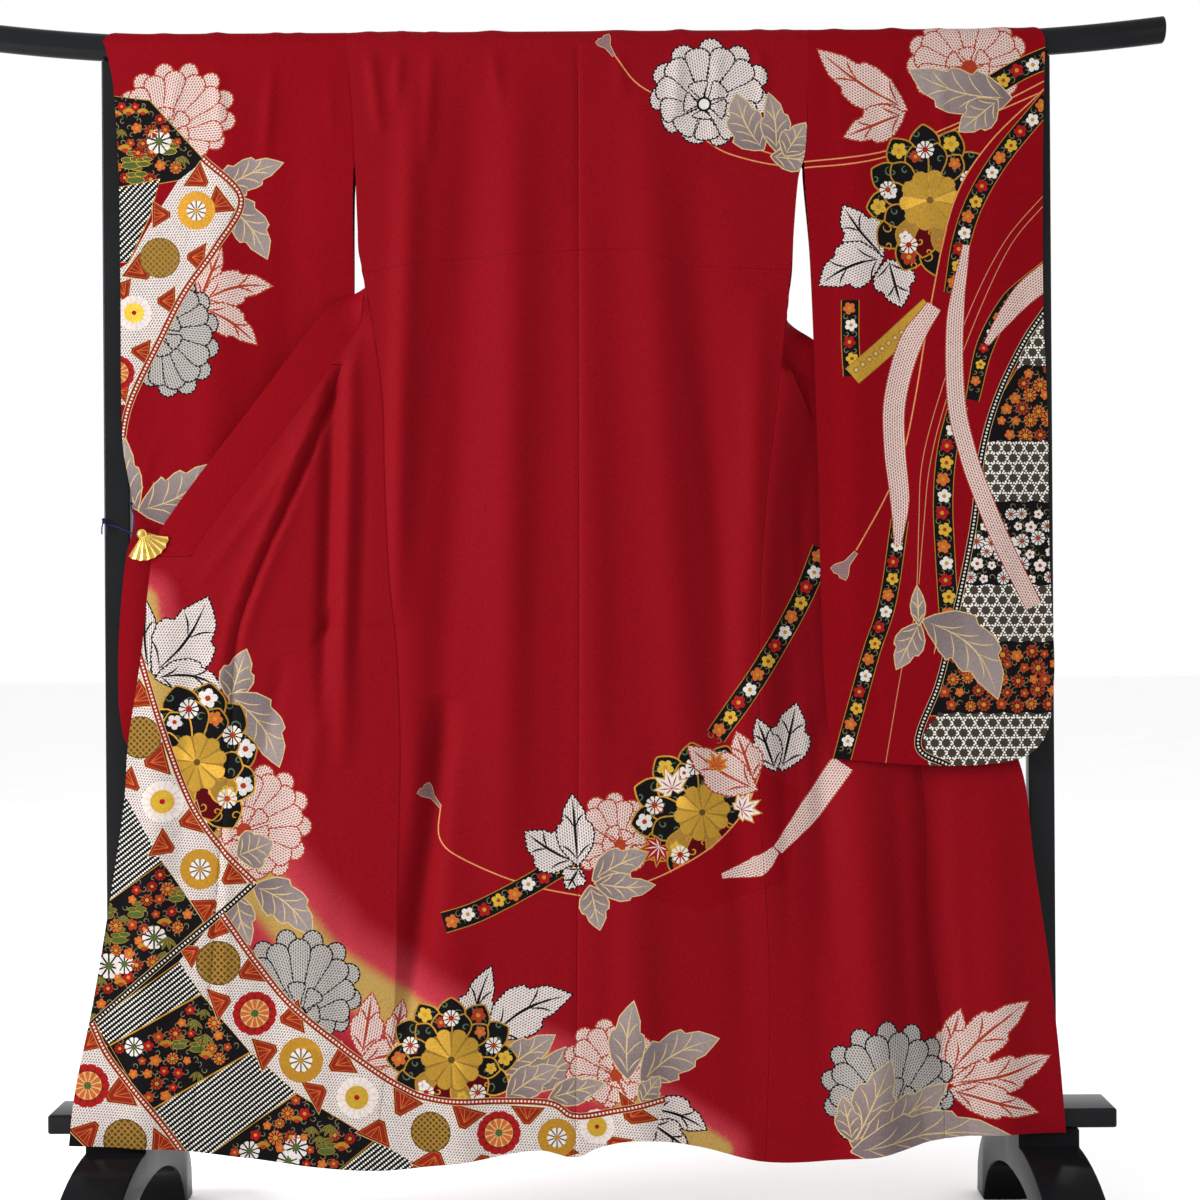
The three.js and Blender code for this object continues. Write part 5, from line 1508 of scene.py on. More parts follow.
# %% Right hem group
RIGHT_HEM = set_leaves([
    ((944, 1080), (962, 1008), 34, "pink", 2, 0.0), ((948, 1080), (1030, 1000), 44, "pink", 3, 0.06),
    ((950, 1084), (1052, 1054), 40, "pink", 3, -0.05), ((948, 1090), (1040, 1112), 34, "pink", 2, 0.0),
])
RIGHT_HEM += kiku(at(888, 1086), px(66), MIST, INK, MIST, 14, lean=(4, -22), turn=0.05)
RIGHT_HEM += set_leaves([
    ((852, 1146), (890, 1056), 46, "grey", 3, 0.0), ((858, 1146), (950, 1084), 42, "grey", 3, 0.0),
    ((850, 1150), (1012, 1134), 50, "grey", 3, 0.05), ((852, 1140), (842, 1094), 26, "grey", 2, 0.0),
])

# %% Shoulder group
SHOULDER = []
SHOULDER += cord_line(line_at((612, 52), (640, 86), (690, 110), (760, 150), (830, 158), (930, 132), (1050, 78)))
SHOULDER += cord_line(line_at((700, 136), (730, 154), (790, 166), (860, 158), (960, 120), (1052, 88)), ORANGE)
SHOULDER += tassel_head(at(614, 56), at(602, 38), px(15))
SHOULDER += tassel_head(at(704, 138), at(688, 128), px(14))
SHOULDER += kiku(at(710, 92), px(58), SHELL, INK, SHELL, 11, squash=(1.04, 0.92), lean=(-6, -12), turn=0.1)
SHOULDER += set_leaves([
    ((764, 150), (736, 92), 40, "grey", 3, 0.08), ((776, 152), (768, 92), 30, "grey", 2, -0.05),
    ((770, 156), (822, 162), 26, "grey", 2, 0.0), ((784, 156), (806, 122), 30, "grey", 2, 0.0),
])
FRONT_PATTERN = BLOOMS + BANK + BORDER + SKIRT + RIGHT_HEM
BODY_PATTERN = SHOULDER_TUCK + FRONT_PATTERN + SHOULDER
print("body pattern", len(BODY_PATTERN), "shapes")

# %% [markdown]
# ## The sleeves' own patterns
# On the left sleeve the bank enters from the outer edge. The right sleeve carries the main fall of ribbons:
# they start at the cuff, cross each other and run down beside a panel of bamboo-weave lattice.

# %% Left sleeve
LEFT_SLEEVE_PATTERN = []
LEFT_SLEEVE_PATTERN += kiku(at(178, 112), px(58), BLUSH, RUST, RUST, 13, squash=(1, 0.86), lean=(-14, -22), turn=0.1)
LEFT_SLEEVE_PATTERN += set_leaves([
    ((214, 196), (284, 162), 34, "grey", 3, 0.06), ((218, 200), (266, 258), 40, "grey", 3, 0.1),
    ((198, 300), (222, 246), 26, "pink", 2, 0.0), ((200, 302), (272, 284), 36, "pink", 2, 0.1),
    ((200, 306), (256, 344), 32, "pink", 2, 0.06),
])
LEFT_SLEEVE_PATTERN += kiku(at(174, 336), px(60), MIST, INK, MIST, 13, squash=(0.74, 1.0), lean=(-16, 6), turn=0.0)
SLEEVE_FIELD = line_at((100, 95), (150, 100), (205, 160), (180, 180), (120, 190), (100, 190))
LEFT_SLEEVE_PATTERN += field(SLEEVE_FIELD, INK, edge=GOLD)
LEFT_SLEEVE_PATTERN += scattered(SLEEVE_FIELD, dice, px(15), [ORANGE, RUST, SCARLET], px(5.6), extras=LITTLE_THINGS)
LEFT_SLEEVE_PATTERN += field(line_at((100, 190), (160, 178), (150, 215), (128, 262), (100, 262)), INK, BEAD_CRAFT, 0.8,
                             edge=GOLD)
LEFT_SLEEVE_PATTERN += field(line_at((205, 160), (240, 198), (216, 246), (184, 290), (160, 336), (128, 404), (100, 404),
                                     (100, 280), (128, 262), (150, 222), (178, 180)), SHELL, KANOKO_CRAFT, 1.0)
LEFT_SLEEVE_PATTERN += set_teeth([
    ((190, 172), (204, 182), 24), ((228, 196), (212, 208), 26), ((206, 258), (190, 256), 26),
    ((150, 214), (166, 214), 22), ((128, 262), (144, 274), 24), ((176, 300), (160, 300), 24),
    ((118, 280), (124, 296), 20), ((150, 352), (134, 350), 22), ((128, 392), (118, 390), 18)])
LEFT_SLEEVE_PATTERN += set_medallions([(196, 210, 19, "gold"), (159, 257, 20, "olive"), (133, 312, 17, "white"),
                                       (116, 372, 17, "red")])
LEFT_SLEEVE_PATTERN += bead_line(line_at((203, 158), (241, 198), (216, 246), (184, 290), (160, 336), (128, 404),
                                         (118, 460)))
LEFT_SLEEVE_PATTERN += set_leaves([
    ((136, 510), (124, 436), 30, "grey", 2, 0.08), ((136, 510), (217, 461), 50, "grey", 3, -0.10),
])

# %% Right sleeve: flowers at the shoulder
RIGHT_BLOOMS = []
RIGHT_BLOOMS += cord_line(line_at((800, 162), (880, 152), (960, 122), (1052, 78)))
RIGHT_BLOOMS += cord_line(line_at((800, 168), (880, 158), (980, 118), (1052, 88)))
RIGHT_BLOOMS += set_leaves([
    ((908, 110), (816, 48), 44, "pink", 2, 0.04), ((906, 112), (842, 138), 38, "pink", 2, 0.0),
])
RIGHT_BLOOMS += kiku(at(967, 60), px(62), BLUSH, RUST, RUST, 13, squash=(0.98, 0.78), lean=(2, -8), turn=0.1)
RIGHT_BLOOMS += floral_ribbon(line_at((1056, 56), (1020, 70), (975, 96)), px(22), dice)
RIGHT_BLOOMS += set_leaves([
    ((1012, 98), (908, 69), 50, "grey", 3, 0.08), ((998, 100), (958, 132), 34, "grey", 2, 0.0),
])
RIGHT_BLOOMS += set_leaves([
    ((884, 256), (842, 204), 36, "white", 2, 0.05), ((884, 258), (818, 286), 40, "white", 2, -0.08),
    ((888, 258), (902, 308), 36, "white", 2, 0.0),
])
RIGHT_BLOOMS += rich_petals(at(930, 200), px(70), px(25), 0.1, dice, 12, squash=(0.92, 1.1))

# %% Right sleeve: ribbons and cords
FALL = [Shape(line_at((1050, 84), (1015, 112), (989, 143), (968, 172), (953, 204), (942, 250), (931, 303), (934, 350),
                      (1000, 350), (1008, 240), (1026, 140)), RED)]
FALL += floral_ribbon(line_at((850, 300), (850, 340), (852, 376)), px(18), dice)
FALL += ribbon(line_at((852, 376), (882, 350), (908, 326), (930, 306)), px(20), GILT, BRONZE, GOLD_CRAFT)
for step in range(12):
    spot = mix(at(856, 370), at(928, 310), step / 11)
    FALL += [disc(spot, px(3.6), BRONZE, sides=6), disc(spot, px(1.8), CREAM, sides=5)]
FALL += floral_ribbon(line_at((1048, 100), (1004, 153), (976, 199), (961, 242), (953, 293)), px(19), dice)
FALL += floral_ribbon(line_at((958, 405), (947, 450), (943, 500), (945, 553), (950, 632)), px(20), dice)
FALL += floral_ribbon(line_at((900, 520), (888, 600), (872, 650), (858, 700), (842, 760)), px(18), dice)
FALL += floral_ribbon(line_at((1048, 262), (1010, 300), (985, 345), (972, 400)), [px(8), px(18), px(18), px(14)], dice)
FALL += ribbon(line_at((1052, 272), (1026, 292), (1004, 318), (986, 344)), [px(26), px(24), px(16), px(6)], BLUSH, RUST,
               KANOKO_CRAFT)

LATTICE_FIELDS = [
    line_at((1048, 305), (1060, 300), (1060, 366), (1020, 366), (1014, 372), (1022, 345)),
    line_at((986, 440), (1060, 440), (1060, 502), (975, 502), (981, 456)),
    line_at((962, 584), (1060, 584), (1060, 642), (950, 642)),
    line_at((922, 735), (938, 712), (1060, 712), (1060, 770), (930, 770)),
]
FLOWER_FIELDS = [
    line_at((1020, 362), (1060, 362), (1060, 446), (984, 446), (996, 402)),
    line_at((976, 500), (1060, 500), (1060, 590), (962, 590), (974, 522)),
    line_at((950, 640), (1060, 640), (1060, 716), (930, 716), (940, 686)),
]
for k, outline in enumerate(FLOWER_FIELDS):
    FALL += field(outline, INK, edge=GOLD)
    FALL += scattered(outline, dice, px(15.5), [ORANGE, RUST] if k != 1 else [SHELL], px(6.2))
for outline in LATTICE_FIELDS:
    wavy = resampled(outline, 0.010)
    FALL += field(wavy + 0.0016 * np.sin(wavy[:, ::-1] * 420), LATTICE_GREY, LATTICE_CRAFT, 0.0, edge=INK)
FALL += bead_line(line_at((1050, 303), (1022, 345), (996, 400), (981, 456), (974, 520), (963, 579), (948, 647),
                          (938, 686), (918, 745), (950, 766)), under=INK)
FALL += cord_line(line_at((1050, 84), (989, 143), (953, 204), (931, 303), (915, 400), (902, 459), (884, 500),
                          (856, 550)))
FALL += tassel_head(at(856, 552), at(838, 574), px(18))
FALL += ribbon(line_at((934, 306), (910, 344), (895, 400), (895, 450), (900, 500), (898, 545)),
               [px(16), px(24), px(23), px(22), px(20), px(8)], BLUSH, RUST, KANOKO_CRAFT)
for points in (((1048, 190), (1004, 242), (968, 314), (938, 400), (922, 464), (919, 522), (917, 584), (912, 630),
                (902, 668), (885, 768)), ((1048, 200), (1010, 246), (976, 318), (946, 400), (930, 464), (924, 522),
                                          (919, 584))):
    FALL += cord_line(line_at(*points), RUST, 0.0009)
FALL += ribbon(line_at((966, 245), (955, 320), (956, 400), (967, 451), (980, 490), (1003, 545), (1034, 606)),
               [px(8), px(18), px(19), px(18), px(18), px(19), px(17)], BLUSH, RUST, KANOKO_CRAFT)
FALL += set_leaves([
    ((920, 622), (896, 670), 30, "grey", 2, 0.0), ((922, 620), (998, 700), 52, "grey", 3, 0.16),
    ((919, 626), (917, 584), 16, "grey", 1, 0.0),
])
RIGHT_SLEEVE_PATTERN = RIGHT_BLOOMS + FALL
print("sleeve patterns", len(LEFT_SLEEVE_PATTERN), len(RIGHT_SLEEVE_PATTERN))

# %% [markdown]
# ## Cutting a panel
# A panel starts flat, as cloth does on the cutting table. Its outline and every dyed shape are drawn on the
# flat, and a triangulation that keeps all those lines turns them into faces, so an edge of dye is an edge of
# the mesh and stays sharp at any distance. Then each corner is hung in its place, and a second skin gives
# the lining.

# %% Grid of a panel
PITCH = 0.0075
CUT_UNIT = 1000.0              # the flat pattern is triangulated in millimetres
RIM_ROWS = (0.0022, 0.0055)    # rows of corners beside a seam, where the cloth dips


def filling(outline):
    low, high = outline.min(axis=0), outline.max(axis=0)
    grid = []
    for k, row in enumerate(np.arange(low[1], high[1], PITCH * 0.866)):
        columns = np.arange(low[0] + (k % 2) * PITCH / 2, high[0], PITCH)
        grid.append(np.column_stack([columns, np.full_like(columns, row)]))
    grid = np.vstack(grid)
    grid = grid[inside(grid, outline)]
    grid = grid[off_edge(grid, outline, RIM_ROWS[-1] + PITCH * 0.4)]
    rims = [shrunk(outline, distance) for distance in RIM_ROWS]
    rims = [rim[inside(rim, outline)] for rim in rims]
    rims = [rim[off_edge(rim, outline, distance * 0.8)] for rim, distance in zip(rims, RIM_ROWS)]
    return np.vstack([grid] + rims)


def triangulate(outline, motifs, filler):
    """Flat corners, triangles, the motif on top of each triangle, and which corner each outline point became."""
    points, faces = [], []
    for polygon in [outline] + [motif.points for motif in motifs]:
        faces.append(list(range(len(points), len(points) + len(polygon))))
        points.extend(polygon)
    points.extend(filler)
    corners = [Vector((x * CUT_UNIT, y * CUT_UNIT)) for x, y in points]
    flat, _, triangles, sources, _, origins = delaunay_2d_cdt(corners, [], faces, 1, 0.01)
    flat = np.array([tuple(p) for p in flat]) / CUT_UNIT
    lows = [outline.min(axis=0)] + [motif.points.min(axis=0) for motif in motifs]
    highs = [outline.max(axis=0)] + [motif.points.max(axis=0) for motif in motifs]
    kept, top = [], []
    for triangle, found in zip(triangles, origins):
        if 0 not in found:
            continue
        x, y = (flat[triangle[0]] + flat[triangle[1]] + flat[triangle[2]]) / 3
        for face in sorted(found, reverse=True):
            (x0, y0), (x1, y1) = lows[face], highs[face]
            if x0 <= x <= x1 and y0 <= y <= y1:
                break
        kept.append(triangle)
        top.append(face - 1)
    triangles, top = np.array(kept), np.array(top)
    a, b, c = (flat[triangles[:, k]] for k in range(3))
    area = (b[:, 0] - a[:, 0]) * (c[:, 1] - a[:, 1]) - (b[:, 1] - a[:, 1]) * (c[:, 0] - a[:, 0])
    triangles[area < 0] = triangles[area < 0][:, ::-1]
    corner_of = np.zeros(len(outline), int)
    for corner, found in enumerate(sources):
        for source in found:
            if source < len(outline):
                corner_of[source] = corner
    return flat, triangles, top, corner_of


def rim_loop(triangles, count):
    """The outer edge of a triangulation as one ordered ring of corners."""
    edges = np.vstack([triangles[:, [0, 1]], triangles[:, [1, 2]], triangles[:, [2, 0]]])
    keys = np.sort(edges, axis=1) @ np.array([count, 1])
    _, first, uses = np.unique(keys, return_index=True, return_counts=True)
    follow = dict(edges[first[uses == 1]].tolist())
    ring = [next(iter(follow))]
    while follow[ring[-1]] != ring[0]:
        ring.append(follow[ring[-1]])
    return np.array(ring)


print("pitch", PITCH)


# %% Hanging a panel
def hang_normals(place, flat, step=0.0015):
    x, h = flat[:, 0], flat[:, 1]
    across = np.array(place(x + step, h)) - np.array(place(x - step, h))
    upward = np.array(place(x, h + step)) - np.array(place(x, h - step))
    normal = np.cross(across.T, upward.T)
    return normal / np.maximum(np.linalg.norm(normal, axis=1), 1e-12)[:, None]


LINING_RED = (0.20, 0.006, 0.012)


def hung_panel(name, outline, place, motifs, ground=sleeve_ground):
    skin = CLOTH / 2
    outline = divided(outline if signed_area(outline) > 0 else outline[::-1])
    low, high = outline.min(axis=0), outline.max(axis=0)
    near = [m for m in motifs if (m.points.max(axis=0) > low).all() and (m.points.min(axis=0) < high).all()]
    filler = filling(outline)
    flat, triangles, top, _ = triangulate(outline, near, filler)
    ring = rim_loop(triangles, len(flat))
    flat_back, back_triangles, _, corner_of = triangulate(flat[ring], [], filler)
    normal, normal_back = hang_normals(place, flat), hang_normals(place, flat_back)
    count = len(flat)
    corners = np.vstack([np.array(place(*flat.T)).T + normal * skin,
                         np.array(place(*flat_back.T)).T - normal_back * skin])
    start, end = ring, np.roll(ring, -1)
    under, under_end = count + corner_of, count + np.roll(corner_of, -1)
    rims = np.vstack([np.column_stack([end, start, under]), np.column_stack([end, under, under_end])])
    rims = rims[(rims[:, 1] != rims[:, 2])]
    faces = np.vstack([triangles, back_triangles[:, ::-1] + count, rims])
    skins = len(triangles) + len(back_triangles)

    mesh = bpy.data.meshes.new(name)
    mesh.vertices.add(len(corners))
    mesh.vertices.foreach_set("co", corners.ravel())
    mesh.loops.add(faces.size)
    mesh.loops.foreach_set("vertex_index", faces.ravel().astype(np.int32))
    mesh.polygons.add(len(faces))
    mesh.polygons.foreach_set("loop_start", np.arange(0, faces.size, 3, dtype=np.int32))
    number = np.arange(len(faces))
    is_lining = (number >= len(triangles)) & (number < skins)
    mesh.polygons.foreach_set("material_index", is_lining.astype(np.int32))
    mesh.update(calc_edges=True)
    piece = bpy.data.objects.new(name, mesh)
    bpy.context.scene.collection.objects.link(piece)
    mesh.materials.append(silk.material)
    mesh.materials.append(lining.material)

    loops = triangles.ravel()
    dye_values = np.ones((faces.size, 4))
    dye_values[:, :3] = LINING_RED
    dye_values[3 * skins:, :3] = WINE
    craft_values = np.zeros((faces.size, 4))
    grain_values = np.zeros((faces.size, 3))
    loop_flat = flat[loops]
    dye_values[: len(loops), :3] = ground(loop_flat)
    grain_values[: len(loops), :2] = loop_flat
    loop_top = np.repeat(top, 3)
    order = np.argsort(loop_top, kind="stable")
    starts = np.searchsorted(loop_top[order], np.arange(len(near) + 1))
    for k, motif in enumerate(near):
        chosen = order[starts[k]:starts[k + 1]]
        if len(chosen):
            dye_values[chosen, :3] = motif.dye_at(loop_flat[chosen])
            craft_values[chosen] = motif.craft
            grain_values[chosen, :2] = motif.grain_at(loop_flat[chosen])
    mesh.attributes.new("dye", "FLOAT_COLOR", "CORNER").data.foreach_set("color", dye_values.ravel())
    mesh.attributes.new("craft", "FLOAT_COLOR", "CORNER").data.foreach_set("color", craft_values.ravel())
    mesh.attributes.new("grain", "FLOAT_VECTOR", "CORNER").data.foreach_set("vector", grain_values.ravel())

    smooth_normals = np.zeros((faces.size, 3))
    smooth_normals[: len(loops)] = normal[loops]
    smooth_normals[len(loops): 3 * skins] = -normal_back[back_triangles[:, ::-1].ravel()]
    mesh.polygons.foreach_set("use_smooth", np.ones(len(faces), bool))
    mesh.normals_split_custom_set([tuple(n) for n in smooth_normals])
    print(name, len(faces), "triangles,", len(near), "motifs")
    return piece


def run(start, end, pitch=None):
    return np.linspace(start, end, max(2, int(abs(end - start) / (pitch or PITCH)) + 1))


# %% [markdown]
# ## The back
# Two widths of silk meet in the centre back seam. They hang from the rod, so most of their folds run down,
# and the seam pulls the cloth in by a millimetre.

# %% Back panels
def back_outline(side, centre_gap):
    low_edge = float(HEM(side(0.14)))
    low_centre = float(HEM(CENTRE(0.15)))
    up = run(low_edge, TOP)
    down = run(TOP, low_centre)
    crest = run(float(side(TOP)), float(CENTRE(TOP)) + centre_gap)[1:-1]
    hem = run(float(CENTRE(low_centre)) + centre_gap, float(side(low_edge)))[1:-1]
    return np.vstack([
        np.column_stack([side(up), up]),
        np.column_stack([crest, np.full_like(crest, TOP)]),
        np.column_stack([CENTRE(down) + centre_gap, down]),
        np.column_stack([hem, HEM(hem)])])


SEAM = 0.0002
back_left = hung_panel("back_left_silk", back_outline(LEFT_SIDE, -SEAM), back_place, BODY_PATTERN, body_ground)
back_right = hung_panel("back_right_silk", back_outline(RIGHT_SIDE, -UNDER), right_back_place, BODY_PATTERN,
                        body_ground)


# %% [markdown]
# ## The fronts and their gussets
# A front runs on from the shoulder behind the back. On the left it is drawn out to the clip, so the folds
# start where the side seam opens and fan out. On the right it falls in soft folds behind the sleeve. The
# okumi is the narrow gusset that lets the kimono overlap; here it is the outermost strip.

# %% Front panels
def front_outline(front):
    level, tip = front.level, front.tip
    hem_side = float(HEM(front.side(0.15)))
    hem_seam = float(HEM(front.seam(0.17)))
    up = run(hem_side, level)

    def under(z):
        return front.outward * SIDE_UNDER * smooth((level + 0.12 - z) / 0.05)

    side_x = front.side_edge(up)[0] - under(up)
    down_band = run(level, tip + 0.0003)
    down_seam = run(tip - 0.0001, hem_seam)
    band_x = front.inner_edge(down_band)[0] - front.outward * 2 * SEAM
    seam_x = front.seam(down_seam) - front.outward * SEAM
    upper = run(level, TOP)[1:]
    side_top = float(front.side_edge(level)[0])
    crest = run(side_top, band_x[0])[1:-1]
    hem = run(seam_x[-1], side_x[0])[1:-1]
    return np.vstack([
        np.column_stack([side_x, up]),
        np.column_stack([side_top - under(upper), upper]),
        np.column_stack([crest, np.full_like(crest, TOP)]),
        np.column_stack([np.full_like(upper, band_x[0]), upper[::-1]]),
        np.column_stack([band_x, down_band]),
        np.column_stack([seam_x, down_seam]),
        np.column_stack([hem, HEM(hem)])])


def okumi_outline(front):
    hem_seam = float(HEM(front.seam(0.17)))
    hem_free = float(HEM(front.free(0.17)))
    up = run(hem_seam, front.tip - 0.0007)
    down_band = run(front.tip - 0.0007, front.band.end)
    down_free = run(front.band.end - 0.0004, hem_free)
    seam_x = front.seam(up) - front.outward * UNDER
    band_x = front.inner_edge(down_band)[0]
    free_x = front.free(down_free)
    hem = run(free_x[-1], seam_x[0])[1:-1]
    return np.vstack([
        np.column_stack([seam_x, up]), np.column_stack([band_x, down_band]),
        np.column_stack([free_x, down_free]), np.column_stack([hem, HEM(hem)])])


front_left = hung_panel("front_left_silk", front_outline(LEFT_FRONT), LEFT_FRONT.place, FRONT_PATTERN,
                        body_ground)
front_right = hung_panel("front_right_silk", front_outline(RIGHT_FRONT), RIGHT_FRONT.place, FRONT_PATTERN,
                         body_ground)
okumi_left = hung_panel("okumi_left_silk", okumi_outline(LEFT_FRONT), LEFT_FRONT.okumi_place, FRONT_PATTERN,
                        body_ground)
okumi_right = hung_panel("okumi_right_silk", okumi_outline(RIGHT_FRONT), RIGHT_FRONT.okumi_place, FRONT_PATTERN,
                         body_ground)

# %% [markdown]
# ## The sleeves
# A sleeve is one width folded over the rod and sewn to itself down the outer edge and along the bottom. Its
# lower outer corner is rounded. Both walls come from one flat sheet, whose upper half is the far wall.

# %% Sleeves
sleeve_left = hung_panel("sleeve_left_silk", LEFT_SLEEVE.outline(PITCH), LEFT_SLEEVE.place,
                         LEFT_SLEEVE_PATTERN)
sleeve_right = hung_panel("sleeve_right_silk", RIGHT_SLEEVE.outline(PITCH), RIGHT_SLEEVE.place,
                          RIGHT_SLEEVE_PATTERN)

# %% [markdown]
# ## The collar band
# The band is one long strip folded in half along its length, so its free edge is a soft fold. It rises from
# the right front, passes behind the neck, and comes down the left front to the clip, turning over once on
# each side.

# %% Collar
COLLAR_LIFT = 0.0009
TURNING_SEAM = -0.0012         # the band laps this far over the panel it is sewn to


def collar_rows(band):
    centres = run(TOP - 0.0064, band.end + 0.0115, 0.006)
    sewn, free = band.edges(centres)
    rows = [(np.array([s[k] for s in sewn]), np.array([f[k] for f in free])) for k in range(len(centres))]
    last_sewn, last_free = band.edges(np.array(band.end))
    x = band.sewn_at(band.end)[0]
    rows.append((np.array([x, band.end, last_sewn[2]]),
                 np.array([band.line(band.end + 0.020), band.end, last_free[2]])))
    neck = []
    for t in np.linspace(0, 1, 9):
        neck.append((np.array([band.outward * NECK * t, TOP, CREST_DEEP]),
                     np.array([band.outward * 0.038 * t, mix(TOP - BAND_WIDTH, 1.694, t * t), CREST_DEEP])))
    return neck, rows


def lifted(point):
    x, h, y = point
    lift = COLLAR_LIFT * float(smooth((h - 1.690) / 0.030))
    if h <= ROD_MIDDLE:
        return np.array([x, y + lift, h])
    px, py, pz = over_rod(x, h, 1)
    return np.array([px, py + lift, pz + lift])


def collar_piece():
    left_neck, left_rows = collar_rows(LEFT_BAND)
    right_neck, right_rows = collar_rows(RIGHT_BAND)
    rows = left_rows[::-1] + left_neck[:0:-1] + right_neck + right_rows
    columns = 12
    middle = []
    for sewn, free in rows:
        width = np.linalg.norm(free - sewn)
        shares = np.linspace(TURNING_SEAM / width, 1, columns)
        middle.append([lifted(mix(sewn, free, share)) for share in shares])
    middle = np.array(middle)
    down = np.gradient(middle, axis=0)
    over = np.gradient(middle, axis=1)
    normal = np.cross(down, over)
    normal /= np.linalg.norm(normal, axis=2)[:, :, None]
    plump = 0.0007 + 0.0007 * np.sin(np.pi * np.linspace(0.08, 0.96, columns)) ** 0.5
    mesh = bmesh.new()
    skins = []
    for side in (1, -1):
        placed = middle + side * normal * plump[None, :, None]
        skins.append([[mesh.verts.new(p) for p in row] for row in placed])
    front, back = skins
    last = len(rows) - 1
    for r in range(last):
        for c in range(columns - 1):
            mesh.faces.new((front[r][c], front[r + 1][c], front[r + 1][c + 1], front[r][c + 1]))
            mesh.faces.new((back[r][c], back[r][c + 1], back[r + 1][c + 1], back[r + 1][c]))
        for c in (0, columns - 1):
            mesh.faces.new((front[r][c], front[r + 1][c], back[r + 1][c], back[r][c]))
    for c in range(columns - 1):
        for r in (0, last):
            mesh.faces.new((front[r][c], front[r][c + 1], back[r][c + 1], back[r][c]))
    bmesh.ops.recalc_face_normals(mesh, faces=mesh.faces)
    data = bpy.data.meshes.new("collar_silk")
    mesh.to_mesh(data)
    piece = bpy.data.objects.new("collar_silk", data)
    bpy.context.scene.collection.objects.link(piece)
    data.materials.append(silk.material)
    colours = np.ones((len(data.loops), 4))
    colours[:, :3] = RED
    data.attributes.new("dye", "FLOAT_COLOR", "CORNER").data.foreach_set("color", colours.ravel())
    data.attributes.new("craft", "FLOAT_COLOR", "CORNER").data.foreach_set("color", np.zeros(colours.size))
    data.attributes.new("grain", "FLOAT_VECTOR", "CORNER").data.foreach_set("vector", np.zeros(len(data.loops) * 3))
    deselect()
    piece.select_set(True)
    bpy.context.view_layer.objects.active = piece
    bpy.ops.object.shade_smooth_by_angle(angle=math.radians(50))
    return piece


collar = collar_piece()
print("collar", len(collar.data.polygons), "faces")

# %% [markdown]
# ## The stand
# An iko is a light wooden frame in black lacquer. Lacquered edges are always softened, because paint thins and chips on
# a sharp one, so every edge here gets a small round. The rod and the feet are drawn out from one section with extrude
# steps, the way a moulding is, and the uprights and the rail are boxes.

# %% Helpers for modelling
def start_edit(piece):
    bpy.context.view_layer.objects.active = piece
    bpy.ops.object.mode_set(mode="EDIT")


def stop_edit():
    bpy.ops.object.mode_set(mode="OBJECT")


def settle(piece, finish, name):
    """Names a piece, puts its place in its mesh and gives it its finish."""
    deselect()
    piece.select_set(True)
    bpy.context.view_layer.objects.active = piece
    bpy.ops.object.transform_apply(location=True, rotation=True, scale=True)
    piece.name = name
    piece.data.name = name
    piece.data.materials.clear()
    piece.data.materials.append(finish.material)
    bpy.ops.object.shade_smooth_by_angle(angle=math.radians(32))
    return piece


def round_edges(amount, segments, sharp=30):
    """Rounds the sharp edges of the piece that is in edit mode."""
    bpy.ops.mesh.select_all(action="SELECT")
    bpy.ops.mesh.normals_make_consistent(inside=False)
    bpy.ops.mesh.select_all(action="DESELECT")
    bpy.ops.mesh.select_mode(type="EDGE")
    bpy.ops.mesh.edges_select_sharp(sharpness=math.radians(sharp))
    bpy.ops.mesh.bevel(offset=amount, offset_type="OFFSET", segments=segments, profile=0.5, affect="EDGES")


def median(piece):
    mesh = bmesh.from_edit_mesh(piece.data)
    chosen = [v.co for v in mesh.verts if v.select]
    return sum(chosen, Vector()) / len(chosen)


# %% Rod
def rod_piece():
    deselect()
    bpy.ops.mesh.primitive_circle_add(vertices=48, radius=1.0, fill_type="NGON",
                                      location=(-ROD_HALF, 0, ROD_MIDDLE + ROD_LIFT),
                                      rotation=(math.pi / 2, 0, math.pi / 2))
    piece = bpy.context.object
    piece.scale = (ROD_DEEP / 2, ROD_TALL / 2, 1)
    bpy.ops.object.transform_apply(location=True, rotation=True, scale=True)
    start_edit(piece)
    out = np.linspace(-ROD_HALF, -ROD_STRAIGHT, 16)
    stations = np.concatenate([out, [-0.2, 0.2], -out[::-1]])
    bpy.ops.mesh.select_all(action="SELECT")
    for a, b in zip(stations, stations[1:]):
        step = (b - a, 0, float(rod_lift(b) - rod_lift(a)))
        bpy.ops.mesh.extrude_region_move(TRANSFORM_OT_translate={"value": step})
    round_edges(0.0035, 5, 60)
    stop_edit()
    return settle(piece, lacquer, "rod_lacquer")


rod = rod_piece()
print("rod", len(rod.data.polygons))


# %% Uprights and rail
def bar_piece(name, node, amount):
    low, high = (Vector(corner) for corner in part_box(node))
    deselect()
    bpy.ops.mesh.primitive_cube_add(size=1, location=(low + high) / 2)
    piece = bpy.context.object
    piece.scale = high - low
    bpy.ops.object.transform_apply(location=True, rotation=True, scale=True)
    start_edit(piece)
    round_edges(amount, 5)
    stop_edit()
    return settle(piece, lacquer, name)


stand = [rod]
stand.append(bar_piece("upright_left_lacquer", "upright_left", 0.003))
stand.append(bar_piece("upright_right_lacquer", "upright_right", 0.003))
stand.append(bar_piece("base_rail_lacquer", "base_rail", 0.004))

# %% Feet
FOOT = {"half": 0.043, "reach": 0.268, "shoulder": 0.156, "toe": 0.014, "arch": 0.108, "block": 0.041,
        "pad": 0.058, "top": 0.181}


